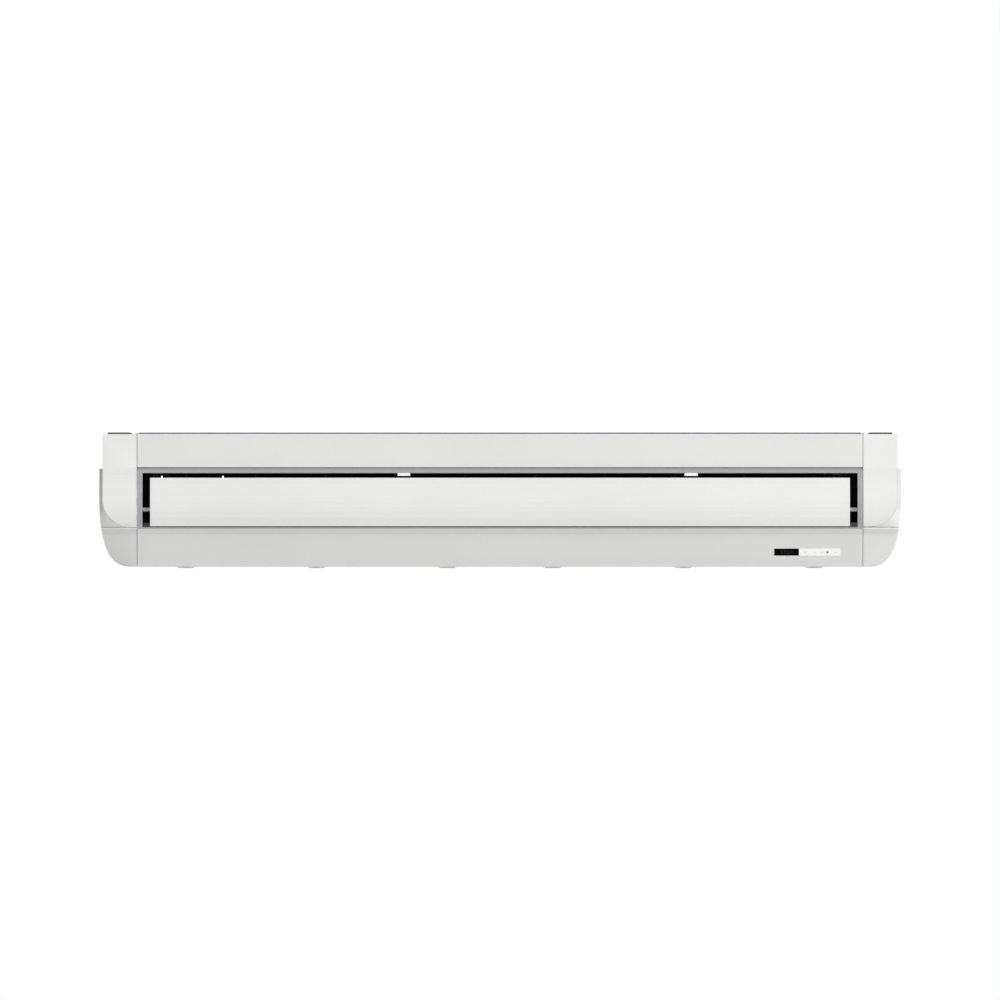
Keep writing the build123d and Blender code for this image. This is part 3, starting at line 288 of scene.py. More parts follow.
@dataclass(frozen=True)
class Foam(Finish):
    """A matt foam of small beads."""

    roughness: float = 0.9
    grain: Grain = Grain.FOAM


@dataclass(frozen=True)
class Even(Finish):
    """A glossy or a flat surface without a grain that shows."""

    grain: Grain = Grain.PLAIN


# Moulded white ABS has a satin sheen and a fine even texture.
WHITE_SHELL = Finish("moulded white ABS", "f1f1f0", 0.42)
# Powder coat on steel is a little smoother, with a slight orange peel.
WHITE_PANEL = Finish("white powder coat", "eaeae9", 0.36, grain=Grain.POWDER, grain_mm=2.2)
# Grey ABS frames the outlet, duller than the shells.
GREY_FRAME = Finish("moulded grey ABS", "aeaeaf", 0.5)
# Flocked foam swallows the light in the outlet.
DUCT_FOAM = Foam("black flocked foam", "070707", 0.95, grain_mm=2.0, depth_mm=0.1)
# Open-cell foam is matt; its grey in the seams is painted shade, standing in for each seam's
# shadow line.
SEAM_SHADE_GREY = Foam("grey seam foam with painted shade", "7d7d7e", grain_mm=1.5)
# The strip over the outlet is the same foam, paler; its grey is painted shade that sets how dark
# the gap over the outlet reads.
GAP_SHADE_PALE = Foam("pale gap foam with painted shade", "a2a2a3", grain_mm=1.5)
# Filled dark plastic keeps the vanes out of sight. The baffles at the outlet's ends take it as
# painted shade.
VANE_BLACK_AND_BAFFLE_SHADE = Finish("dark moulded vane plastic", "1a1a1b", 0.6)
# Bright white plastic, with a painted glow that lifts the lever tabs and the clips out of the dark
# slot's shade.
GLOWING_LINK_WHITE = Finish("white lever plastic with painted glow", "f4f4f3", 0.4, glow=1.0)
# The bars behind the vanes are as dark as they are.
LINK_DARK = Finish("dark link bar plastic", "141414", 0.6)
# Zinc crystals give soft patches on a dull metal.
GALVANISED = Metal(
    "galvanised sheet steel",
    "bcbfc1",
    0.46,
    grain=Grain.SPANGLE,
    grain_mm=7.0,
    depth_mm=0.01,
    tint=0.05,
)
# The folded front edge is painted dark: painted shade for the dark line along the sheet's front.
SHADED_SHEET_EDGE = Metal("folded sheet edge with painted shade", "5c5e60", 0.7, metallic=0.3, grain_mm=0.6)
# Electroplated zinc is brighter than dipped.
ZINC = Metal("bright zinc plate", "c3c4c6", 0.28, grain_mm=0.5, depth_mm=0.004)
# Grinding leaves a fine bright line round the shaft.
GROUND_STEEL = Metal("ground steel", "c9cacb", 0.22, grain_mm=0.3, depth_mm=0.003)
# Thin rolled foil is bright, with a faint grain.
FIN_ALUMINIUM = Metal("bare aluminium fin stock", "d5d7d8", 0.35, grain_mm=0.6)
# Drawn copper tarnishes unevenly from pink to brown.
COPPER = Metal("drawn copper tube", "c07a52", 0.3, grain_mm=0.8, tint=0.12)
# Turned brass shows the tool's fine rings.
BRASS = Metal("turned brass", "c8a45a", 0.28, grain_mm=0.4, tint=0.05)
# Expanded foam is chalky, with beads that show.
PAN_FOAM = Foam("white expanded foam", "e9e9e6", 0.85, grain_mm=3.0, depth_mm=0.25)
# Glass-filled fan plastic is dark, with a weak sheen.
FAN_PLASTIC = Finish("dark moulded fan plastic", "2b2c2e", 0.5)
# Solder mask is a thin glossy green.
BOARD = Even("green solder mask", "123d22", 0.35, tint=0.08)
# Terminal blocks are moulded in a warm off-white.
TERMINAL = Finish("ivory terminal moulding", "d9d5c4", 0.5)
# The capacitor's case is plain dark plastic.
CAPACITOR = Finish("dark moulded capacitor case", "222326", 0.5)
# Rubber is nearly black and matt.
RUBBER = Finish("soft black rubber", "151515", 0.8)
# The smoked window is black from the front, with a low gloss under soft light.
SMOKED = Even("smoked display window", "010101", 0.12, ior=1.12, depth_mm=0.001)
# The milky window gets a faint painted glow that brightens it.
GLOWING_MILKY = Even("milky indicator window with painted glow", "fbfbfa", 0.25, ior=1.49, depth_mm=0.001, glow=0.17)
# The button is a mid grey dot.
BUTTON_GREY = Finish("small grey button", "a3a3a3", 0.45)
# Unlit digits are a shade lighter than their window.
DIGIT_GREY = Even("unlit display digits", "2c2c2c", 0.3)
# The marks are a shade darker than theirs.
MARK_GREY = Even("pale printed marks", "d6d6d4", 0.4)
# Nylon thread has a soft sheen.
MESH_GREY = Finish("grey nylon mesh", "5c6269", 0.6)
# The filter's frame is a plain grey moulding.
FILTER_FRAME = Finish("grey moulded filter frame", "7c8084", 0.5)
# The floor is matt, and one even tone.
FLOOR_PALE = Even("pale studio floor", "f4f4f4", 0.9, tint=0.0)


def mesh_object(name: str, mesh: Mesh, finish: Finish) -> Piece:
    """Turn a bmesh into a shown object with one finish.

    Args:
        name: the piece's name.
        mesh: its shape, in metres, which is freed.
        finish: its material.

    Returns:
        The new object, at the origin.
    """
    data = bpy.data.meshes.new(name)
    mesh.to_mesh(data)
    mesh.free()
    data.materials.append(finish.material())
    made = bpy.data.objects.new(name, data)
    bpy.context.scene.collection.objects.link(made)
    return made


def smooth(piece: Piece, degrees: float = 32.0) -> None:
    """Shade a piece smoothly, with sharp edges past an angle.

    Args:
        piece: the object to shade.
        degrees: the angle past which an edge stays sharp.
    """
    piece.data.shade_smooth()
    piece.data.set_sharp_from_angle(angle=math.radians(degrees))


def settle(piece: Piece) -> None:
    """Turn a piece with live modifiers into a plain mesh.

    Args:
        piece: the object whose modifiers are applied.
    """
    graph = bpy.context.evaluated_depsgraph_get()
    graph.update()
    plain = bpy.data.meshes.new_from_object(piece.evaluated_get(graph))
    piece.modifiers.clear()
    piece.data = plain


def paint(node: str, finish: Finish) -> None:
    """Give a CAD node a better material in each of its slots.

    Args:
        node: the CAD node's name.
        finish: the material it gets.
    """
    shown = frame["nodes"][node]
    for place in shown.material_slots:
        place.material = finish.material()
    LOG.info("painted %s with %s", node, finish.name)


def dress(
    node: str, finish: Finish, radius_mm: float, reshape: Callable | None = None
) -> Piece:
    """Copy a CAD node and round its sharp edges, as a mould or a fold leaves them.

    Args:
        node: the CAD node that the copy stands for.
        finish: the copy's material.
        radius_mm: how wide the rounded edges are.
        reshape: a function that refines the copy's mesh first.

    Returns:
        The new piece, riding on the node's body.
    """
    source = frame["nodes"][node]
    shape = bmesh.new()
    shape.from_mesh(source.data)
    bmesh.ops.remove_doubles(shape, verts=shape.verts, dist=MERGE)
    bmesh.ops.dissolve_degenerate(shape, edges=shape.edges, dist=MERGE / 10)
    if reshape:
        reshape(shape)
    piece = mesh_object(f"{node}_finished", shape, finish)
    smooth(piece, FOLD)
    bevel = piece.modifiers.new("edges", "BEVEL")
    bevel.width = radius_mm * MM
    bevel.segments = 2
    bevel.limit_method = "ANGLE"
    bevel.angle_limit = math.radians(FOLD)
    bevel.harden_normals = True
    settle(piece)
    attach(piece, (body_of(source) or ["casing"])[0])
    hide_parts(node)
    LOG.info("dressed %s", node)
    return piece


def slab(shape: Mesh, low: tuple, high: tuple) -> None:
    """Add a box to a shape.

    Args:
        shape: the mesh that gets it.
        low: its lowest corner, in metres.
        high: its highest corner, in metres.
    """
    middle = (Vector(low) + Vector(high)) / 2
    size = Vector(high) - Vector(low)
    place = Matrix.Translation(middle) @ Matrix.Diagonal((*size, 1.0))
    bmesh.ops.create_cube(shape, size=1.0, matrix=place)


def prism(shape: Mesh, outline: list, shift: tuple) -> None:
    """Add a shape of constant outline.

    Args:
        shape: the mesh that gets it.
        outline: its first face's corners, in metres, in order.
        shift: the way from the first face to the last.
    """
    near = [shape.verts.new(corner) for corner in outline]
    far = [shape.verts.new(Vector(corner) + Vector(shift)) for corner in outline]
    made = [shape.faces.new(near), shape.faces.new(list(reversed(far)))]
    for i in range(len(outline)):
        j = (i + 1) % len(outline)
        made.append(shape.faces.new((near[j], near[i], far[i], far[j])))
    bmesh.ops.recalc_face_normals(shape, faces=made)


def paint_front_shade(piece: Piece, limit: float, top: float = 1.0) -> None:
    """Give the folded front edge of a sheet piece a painted shade, a dark dull metal.

    Args:
        piece: the sheet piece.
        limit: the place along Y before which its faces get the painted shade.
        top: the height below which they get it.
    """
    piece.data.materials.append(SHADED_SHEET_EDGE.material())
    for face in piece.data.polygons:
        if face.center.y < limit and face.center.z < top:
            face.material_index = 1


def row_tree(finish: Finish) -> Tree:
    """Build the node tree that repeats a shape along a line.

    Args:
        finish: the material of the repeated shape.

    Returns:
        The tree, with inputs for the count and the step.
    """
    name = f"row of {finish.name}"
    if name in bpy.data.node_groups:
        return bpy.data.node_groups[name]
    tree = bpy.data.node_groups.new(name, "GeometryNodeTree")
    face = tree.interface
    face.new_socket("Geometry", in_out="INPUT", socket_type="NodeSocketGeometry")
    face.new_socket("Count", in_out="INPUT", socket_type="NodeSocketInt")
    face.new_socket("Step", in_out="INPUT", socket_type="NodeSocketVector")
    face.new_socket("Geometry", in_out="OUTPUT", socket_type="NodeSocketGeometry")
    given = add_node(tree, "NodeGroupInput").outputs
    places = {"Count": given["Count"], "Offset": given["Step"]}
    line = add_node(tree, "GeometryNodeMeshLine", places, mode="OFFSET").outputs["Mesh"]
    copies = {"Points": line, "Instance": given["Geometry"]}
    placed = add_node(tree, "GeometryNodeInstanceOnPoints", copies).outputs["Instances"]
    real = add_node(tree, "GeometryNodeRealizeInstances", {"Geometry": placed})
    look = {"Geometry": real.outputs["Geometry"], "Material": finish.material()}
    dressed = add_node(tree, "GeometryNodeSetMaterial", look).outputs["Geometry"]
    add_node(tree, "NodeGroupOutput", {"Geometry": dressed})
    return tree


def repeat(piece: Piece, finish: Finish, count: int, step: tuple) -> None:
    """Repeat a piece's mesh along a line with Geometry Nodes.

    Args:
        piece: the object whose mesh is the first of the row.
        finish: its material.
        count: how many there are.
        step: the way from one to the next, in metres.
    """
    tree = row_tree(finish)
    row = piece.modifiers.new("row", "NODES")
    row.node_group = tree
    given = {"Count": count, "Step": step}
    for socket in tree.interface.items_tree:
        if socket.in_out == "INPUT" and socket.name in given:
            row[socket.identifier] = given[socket.name]
    settle(piece)


@dataclass
class Screws:
    """Pan-head screws in a row, seated on a face.

    Args:
        head_r: head radius, in metres.
        head_h: head height, in metres.
        profile: radius and height of each ring of the head, as shares of its own.
        recess: radius and height of the driver's recess, as shares of the head's.
        crease: angle past which an edge of the head stays sharp, in degrees.
    """

    head_r: float = 0.0035
    head_h: float = 0.0016
    profile: tuple = ((1.0, 0.0), (1.0, 0.35), (0.82, 0.8), (0.5, 1.0))
    recess: tuple = (0.32, 0.3)
    crease: float = 40.0

    def row(self, name: str, first: tuple, facing: tuple, count: int, step: tuple) -> None:
        """Make one row of screws in the casing.

        Args:
            name: the row's name.
            first: where the first head meets the sheet.
            facing: the way the heads face.
            count: how many screws there are.
            step: the way from one to the next.
        """
        shape = bmesh.new()
        turn = Vector(facing).to_track_quat("Z", "Y").to_matrix().to_4x4()
        place = Matrix.Translation(Vector(first)) @ turn
        loops = [self._ring(shape, place, *shares) for shares in self.profile]
        recess = self._ring(shape, place, *self.recess, count=4)
        for low, high in zip(loops, loops[1:]):
            for i in range(len(low)):
                j = (i + 1) % len(low)
                shape.faces.new((low[i], low[j], high[j], high[i]))
        inner = loops[-1]
        quarter = len(inner) // len(recess)
        for i in range(len(inner)):
            j = (i + 1) % len(inner)
            near = recess[i // quarter]
            shape.faces.new((inner[i], inner[j], near))
            if j % quarter == 0:
                shape.faces.new((inner[j], recess[j // quarter], near))
        shape.faces.new(recess)
        piece = mesh_object(name, shape, ZINC)
        repeat(piece, ZINC, count, step)
        smooth(piece, self.crease)
        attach(piece, "casing")
        LOG.info("screws %s: %d", name, count)

    def _ring(self, shape: Mesh, place: Matrix, wide: float, high: float, count: int = 16) -> list:
        """One ring of points about the screw's axis.

        Args:
            shape: the mesh that gets the points.
            place: where the screw stands and how it is turned.
            wide: the ring's radius, as a share of the head's.
            high: its height, as a share of the head's.
            count: how many points it has.

        Returns:
            The new points.
        """
        made = []
        for i in range(count):
            angle, radius = 2 * math.pi * i / count, wide * self.head_r
            point = (radius * math.cos(angle), radius * math.sin(angle), high * self.head_h)
            made.append(shape.verts.new(place @ Vector(point)))
        return made


def along(table: dict, place: float, pitch: float) -> float:
    """Read a value between the rows of an evenly spaced table.

    Args:
        table: values by row number.
        place: where to read it.
        pitch: spacing of the rows.

    Returns:
        The value, held at its first or last row past the ends.
    """
    row = min(max(place / pitch, min(table)), max(table))
    low, high = math.floor(row), math.ceil(row)
    first = table.get(low, table.get(high))
    return first + (row - low) * (table.get(high, first) - first)


@dataclass
class Moulding:
    """Changes to the covers' CAD copies, in mm, that give them their moulded form.

    Args:
        back: how far a side shell's outer edge lies behind the end cover's.
        bend: power that lets the curve start slowly.
        fade: how far along the side that curve takes to run out.
        seam_x: place of the seam beside the lower panel.
        cover_x: outer side of the end cover, with its gap.
        cover_bottom: bottom of the end cover, as a drop, with its gap.
        cover_r: radius of the end cover's lower corner.
        ledge: drop at which the side shell starts.
        groove: drops between which a shadow groove runs under the cover.
        groove_deep: depth of that groove.
        groove_side: width of its sloped sides.
        groove_back: how far behind the front it still cuts.
        first_cut: place of the first cut, past the seam and as a drop.
        cuts: how many cuts there are across and down.
        step: spacing of the cuts that let the mesh bend.
        pitch: spacing of the drops at which the outline is read.
        chamfer: drop and X past which the end cover's upper corner lies.
        square: how far that corner is filled out.
    """

    back: float = 12.0
    bend: float = 1.5
    fade: float = 80.0
    seam_x: float = 634.8
    cover_x: float = 694.7
    cover_bottom: float = 164.9
    cover_r: float = 47.2
    ledge: float = 63.0
    groove: tuple = (165.3, 167.6)
    groove_deep: float = 5.0
    groove_side: float = 0.2
    groove_back: float = 8.0
    first_cut: tuple = (4.0, 170.0)
    cuts: tuple = (10, 11)
    step: float = 6.0
    pitch: float = 4.0
    chamfer: tuple = (12.0, 685.0)
    square: float = 4.5

    def side_shell(self, shape: Mesh) -> None:
        """Cut a side shell finely near its front and push its outer edge back.

        Args:
            shape: the shell's mesh, in metres.
        """
        first_x, first_drop = self.first_cut
        across = [self.seam_x + first_x + i * self.step for i in range(self.cuts[0])]
        down = [first_drop + i * self.step for i in range(self.cuts[1])]
        top, bottom = self.groove
        down += [top, bottom, top - self.groove_side, bottom + self.groove_side]
        cuts = [((side * x, 0, 0), (1, 0, 0)) for x in across for side in (-1, 1)]
        cuts += [((0, 0, -drop), (0, 0, 1)) for drop in down]
        for place, normal in cuts:
            bmesh.ops.bisect_plane(
                shape,
                geom=[*shape.verts, *shape.edges, *shape.faces],
                plane_co=Vector(place) * MM,
                plane_no=normal,
            )
        widest, nearest = self._outline(shape)
        for v in shape.verts:
            drop, x, y = -v.co.z / MM, abs(v.co.x) / MM, v.co.y / MM
            if drop < self.ledge:
                continue
            behind = y - along(nearest, drop, self.pitch)
            inner = self._cover_edge(drop)
            outer = max(along(widest, drop, self.pitch), inner + 1)
            share = min(1.0, max(0.0, (x - inner) / (outer - inner)))
            left = min(1.0, max(0.0, 1 - behind / self.fade))
            push = self.back * share**self.bend * left
            if top <= drop <= bottom and behind < self.groove_back:
                push += self.groove_deep
            v.co.y += push * MM

    def end_cover(self, shape: Mesh) -> None:
        """Fill out an end cover's upper corner until it is nearly square.

        Args:
            shape: the cover's mesh, in metres.
        """
        for v in shape.verts:
            drop, x = -v.co.z / MM, abs(v.co.x) / MM
            if drop > self.chamfer[0] or x < self.chamfer[1]:
                continue
            if drop < self.chamfer[0] / 2:
                v.co.x += math.copysign(self.square * MM, v.co.x)
            else:
                v.co.z += self.square * MM

    def _cover_edge(self, drop: float) -> float:
        """Outer edge of the end cover at one drop, a side and a round corner.

        Args:
            drop: the distance below the top.

        Returns:
            X of the edge, or of the seam below the cover.
        """
        into = drop - (self.cover_bottom - self.cover_r)
        if into <= 0:
            return self.cover_x
        if into >= self.cover_r:
            return self.seam_x
        return self.cover_x - self.cover_r + math.sqrt(self.cover_r**2 - into**2)

    def _outline(self, shape: Mesh) -> tuple[dict, dict]:
        """Widest and foremost place of a shell at each drop.

        Args:
            shape: the shell's mesh, in metres.

        Returns:
            The largest X and the smallest Y, in mm, by row of drops.
        """
        widest, nearest = {}, {}
        for v in shape.verts:
            row = round(-v.co.z / MM / self.pitch)
            widest[row] = max(widest.get(row, 0.0), abs(v.co.x) / MM)
            nearest[row] = min(nearest.get(row, 0.0), v.co.y / MM)
        return widest, nearest


@dataclass
class Casing:
    """Sheet steel box and the moulded covers round it.

    Args:
        bead_depth: depth of the beads pressed into the lid.
        bead_width: width of one bead.
        bead_edge: distance from the lid's edge to the outer bead.
        lanes: how many beads run from front to rear.
        lane_end: how far their ends stay from the outer bead.
        lid_pitch: spacing of the lid's mesh lines.
        lid_crease: angle past which an edge of the lid stays sharp, in degrees.
        sheet: thickness of the lid's sheet.
        hem: depth of the brackets' front edge that gets the painted shade.
        cap: outline of a rear cap, as (x, z).
        cap_y: front of a rear cap.
        cap_thick: thickness of a rear cap.
        screw_count: how many screws a row has.
        screw_inset: distance of a row from the sheet's edge.
        screw_sink: how deep the heads sit in the rear sheet and in the lid's bead.
        moulded: finish and edge radius in mm, by CAD node.
    """

    bead_depth: float = 0.0016
    bead_width: float = 0.016
    bead_edge: float = 0.045
    lanes: int = 5
    lane_end: float = 0.05
    lid_pitch: float = 0.004
    lid_crease: float = 25.0
    sheet: float = 0.0012
    hem: float = 0.002
    cap: tuple = (
        (0.6352, -0.0056),
        (0.6902, -0.0056),
        (0.6918, -0.0072),
        (0.6918, -0.0722),
        (0.6352, -0.0722),
    )
    cap_y: float = 0.3265
    cap_thick: float = 0.0020
    screw_count: int = 8
    screw_inset: float = 0.012
    screw_sink: tuple = (0.0002, 0.0018)
    moulded: dict = field(
        default_factory=lambda: {
            "lower_front_panel": (WHITE_SHELL, 0.5),
            "end_cover_left": (WHITE_SHELL, 0.6),
            "end_cover_right": (WHITE_SHELL, 0.6),
            "side_shell_left": (WHITE_SHELL, 0.6),
            "side_shell_right": (WHITE_SHELL, 0.6),
            "outlet_frame": (GREY_FRAME, 0.4),
            "front_top_panel": (WHITE_PANEL, 0.4),
            "hanger_brackets": (GALVANISED, 0.5),
        }
    )

    def build(self) -> None:
        """Dress the covers, press the lid and drive the screws."""
        moulding = Moulding()
        reshapes = {"side_shell": moulding.side_shell, "end_cover": moulding.end_cover}
        for node, (finish, radius) in self.moulded.items():
            reshape = reshapes.get(node.rpartition("_")[0])
            dress(node, finish, radius, reshape)
        brackets = bpy.data.objects["hanger_brackets_finished"]
        # The brackets' front edge gets painted shade.
        paint_front_shade(brackets, Vector(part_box("hanger_brackets")[0]).y + self.hem)
        self._lid()
        for node in ("rear_plate", "side_plates", "fan_deck"):
            paint(node, GALVANISED)
        self._screws()
        self._caps()

    def _caps(self) -> None:
        """Closing caps in the rear ends of the two end covers."""
        shape = bmesh.new()
        for side in (-1, 1):
            outline = [(side * x, self.cap_y, z) for x, z in self.cap]
            prism(shape, outline, (0, self.cap_thick, 0))
        caps = mesh_object("rear_end_caps", shape, WHITE_SHELL)
        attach(caps, "casing")
        LOG.info("closed the rear ends")

    @staticmethod
    def _slot(node: str) -> str:
        """Name of the record's slot that a node's finish comes from."""
        rows = frame["record"]["subparts"]
        return next(row["material_slot"] for row in rows if row["node"] == node)

    def _bead(self, x: float, y: float, half_x: float, half_y: float) -> float:
        """Depth of the pressed beads at one place on the lid.

        Args:
            x: place from the lid's middle, across.
            y: place from the lid's middle, along the depth.
            half_x: half the lid's length.
            half_y: half the lid's depth.

        Returns:
            How far the sheet is pressed down.
        """
        inside_x, inside_y = half_x - self.bead_edge, half_y - self.bead_edge
        lanes = [abs(max(abs(x) - inside_x, abs(y) - inside_y))]
        beyond = max(0.0, abs(y) - (inside_y - self.lane_end))
        for k in range(self.lanes):
            lane_x = (k - (self.lanes - 1) / 2) * 2 * inside_x / self.lanes
            lanes.append(math.hypot(x - lane_x, beyond))
        near = min(lanes) / (self.bead_width / 2)
        if near >= 1:
            return 0.0
        return self.bead_depth * (0.5 + 0.5 * math.cos(math.pi * near))

    def _lid(self) -> None:
        """Galvanised lid with pressed beads and its front hem."""
        low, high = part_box("top_plate")
        low, high = Vector(low), Vector(high)
        middle = (low + high) / 2
        half_x, half_y = (high.x - low.x) / 2, (high.y - low.y) / 2
        columns = int(2 * half_x / self.lid_pitch)
        rows = int(2 * half_y / self.lid_pitch)
        shape = bmesh.new()
        grid = []
        for j in range(rows + 1):
            line = []
            for i in range(columns + 1):
                x = -half_x + 2 * half_x * i / columns
                y = -half_y + 2 * half_y * j / rows
                z = high.z - self._bead(x, y, half_x, half_y)
                line.append(shape.verts.new((middle.x + x, middle.y + y, z)))
            grid.append(line)
        for front, back in zip(grid, grid[1:]):
            for i in range(columns):
                shape.faces.new((front[i], front[i + 1], back[i + 1], back[i]))
        rim = [*grid[0], *(line[-1] for line in grid[1:])]
        rim += [*reversed(grid[-1][:-1]), *(line[0] for line in reversed(grid[1:-1]))]
        foot = [shape.verts.new((v.co.x, v.co.y, high.z - self.sheet)) for v in rim]
        for i in range(len(rim)):
            j = (i + 1) % len(rim)
            shape.faces.new((rim[i], foot[i], foot[j], rim[j]))
        shape.faces.new(list(reversed(foot)))
        slab(shape, low, (high.x, low.y + self.sheet, high.z - self.sheet))
        bmesh.ops.recalc_face_normals(shape, faces=shape.faces)
        lid = mesh_object("pressed_lid", shape, GALVANISED)
        # The lid's front hem gets painted shade.
        paint_front_shade(lid, low.y + self.sheet + MERGE, high.z - self.sheet)
        smooth(lid, self.lid_crease)
        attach(lid, "casing")
        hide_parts("top_plate")
        LOG.info("pressed the lid, %d by %d", columns, rows)

    def _screws(self) -> None:
        """Rows of screws along the lid's rear edge and down the back."""
        screws, (sink, lid_sink) = Screws(), self.screw_sink
        lid_top = Vector(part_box("top_plate")[1]).z
        low, high = (Vector(corner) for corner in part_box("rear_plate"))
        inset, count, back = self.screw_inset, self.screw_count, high.y - sink
        left, step = low.x + 2 * inset, (high.x - low.x - 4 * inset) / (count - 1)
        for name, first, facing in (
            ("rear_screws_top", (left, back, high.z - inset), (0, 1, 0)),
            ("rear_screws_bottom", (left, back, low.z + inset), (0, 1, 0)),
            ("lid_screws", (left, high.y - 2 * inset, lid_top - lid_sink), (0, 0, 1)),
        ):
            screws.row(name, first, facing, count, (step, 0, 0))


@dataclass
class Seals:
    """Foam strips behind the seams and over the outlet, and dark baffles at the ends of the
    outlet, whose colours are painted shade for those gaps.

    Args:
        seam_x: place of the seams beside the end covers.
        seam_half: half the width of a strip.
        thick: thickness of a strip.
        upper: front line of the strip behind the top panel, as (y, z).
        lower: front line of the strip behind the lower panel.
        baffle: inner and outer end of a baffle, along X.
        baffle_y: front and rear of a baffle.
        baffle_z: bottom and top of a baffle.
        rail: half length, front, bottom and top of the strip over the outlet.
    """

    seam_x: float = 0.6348
    seam_half: float = 0.0018
    thick: float = 0.003
    upper: tuple = ((-0.3145, -0.0035), (-0.3145, -0.0600))
    lower: tuple = ((-0.3300, -0.1695), (-0.3185, -0.1765), (-0.2725, -0.2305))
    baffle: tuple = (0.6085, 0.6300)
    baffle_y: tuple = (-0.1530, -0.1500)
    baffle_z: tuple = (-0.1720, -0.0660)
    rail: tuple = (0.6330, -0.3155, -0.0640, -0.0602)

    def build(self) -> None:
        """Lay the strips and the baffles, painted shade in the seams and the outlet's gaps."""
        dark, grey, pale = bmesh.new(), bmesh.new(), bmesh.new()
        for side in (-1, 1):
            middle = side * self.seam_x
            for line in (self.upper, self.lower):
                back = [(y + self.thick, z + self.thick / 2) for y, z in reversed(line)]
                left = middle - self.seam_half
                outline = [(left, y, z) for y, z in (*line, *back)]
                prism(grey, outline, (2 * self.seam_half, 0, 0))
            ends = sorted(side * x for x in self.baffle)
            low = (ends[0], self.baffle_y[0], self.baffle_z[0])
            slab(dark, low, (ends[1], self.baffle_y[1], self.baffle_z[1]))
        half, front, bottom, top = self.rail
        slab(pale, (-half, front, bottom), (half, front + self.thick, top))
        # Each piece's colour is painted shade: the seams' shadow lines, the gap over the outlet
        # and the outlet's dark ends.
        for name, shape, finish in (
            ("outlet_end_shade_baffles", dark, VANE_BLACK_AND_BAFFLE_SHADE),
            ("seam_shade_strips", grey, SEAM_SHADE_GREY),
            ("outlet_gap_shade_strip", pale, GAP_SHADE_PALE),
        ):
            piece = mesh_object(name, shape, finish)
            smooth(piece)
            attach(piece, "casing")
            LOG.info("laid %s", name)


@dataclass
class Outlet:
    """Flap, vanes, link bars and the dark passage behind them.

    Args:
        tick_x: places of the two small white clips on the flap's top edge.
        tick_size: width, depth and height of one clip.
        tick_seat: how deep a clip sits in the flap, and how round its edges are.
        edge: depth of the flap's top edge band, and the clips' distance behind its front.
        tab_top: height below which a link bar's white lever tab hangs.
    """

    tick_x: tuple = (-0.5908, -0.4840)
    tick_size: tuple = (0.0026, 0.0030, 0.0035)
    tick_seat: float = 0.0004
    edge: tuple = (0.001, 0.002)
    tab_top: float = -0.0690

    def build(self) -> None:
        """Dress every piece of the outlet."""
        flap = dress("flap", WHITE_SHELL, radius_mm=0.5)
        paint("outlet_duct", DUCT_FOAM)
        paint("flap_pins", GREY_FRAME)
        paint("flap_motor", ZINC)
        for node in frame["nodes"]:
            if node.startswith("vane_") and not node.startswith("vane_link"):
                dress(node, VANE_BLACK_AND_BAFFLE_SHADE, radius_mm=0.3)
        for side in ("left", "right"):
            self._link(f"vane_link_{side}")
        self._ticks()

    def _link(self, node: str) -> None:
        """Dark link bar with its white lever tab, which glows with painted light.

        Args:
            node: the link bar's CAD node.
        """
        bar = dress(node, LINK_DARK, radius_mm=0.25)
        # The tab's white material glows: painted light against the slot's shade.
        bar.data.materials.append(GLOWING_LINK_WHITE.material())
        for face in bar.data.polygons:
            if face.center.z < self.tab_top:
                face.material_index = 1

    def _ticks(self) -> None:
        """Two small white clips that show above the flap's left end, glowing with painted light.
        """
        seat = Vector(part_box("flap")[1]).z - self.tick_seat
        wide, deep, tall = self.tick_size
        y = self._edge_y(seat)
        shape = bmesh.new()
        for x in self.tick_x:
            slab(shape, (x - wide / 2, y, seat), (x + wide / 2, y + deep, seat + tall))
        edges = list(shape.edges)
        bmesh.ops.bevel(shape, geom=edges, offset=self.tick_seat, segments=2, affect="EDGES")
        # The clips share the tab's painted glow.
        ticks = mesh_object("flap_clips", shape, GLOWING_LINK_WHITE)
        smooth(ticks)
        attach(ticks, "flap")
        LOG.info("added %d clips on the flap", len(self.tick_x))

    def _edge_y(self, height: float) -> float:
        """Front to back place of the flap's outer top edge, read from its own mesh.

        Args:
            height: how high the edge lies.

        Returns:
            Y just behind the outer edge.
        """
        band, inset = self.edge
        mesh = frame["nodes"]["flap"].data
        return min(v.co.y for v in mesh.vertices if v.co.z > height - band) + inset


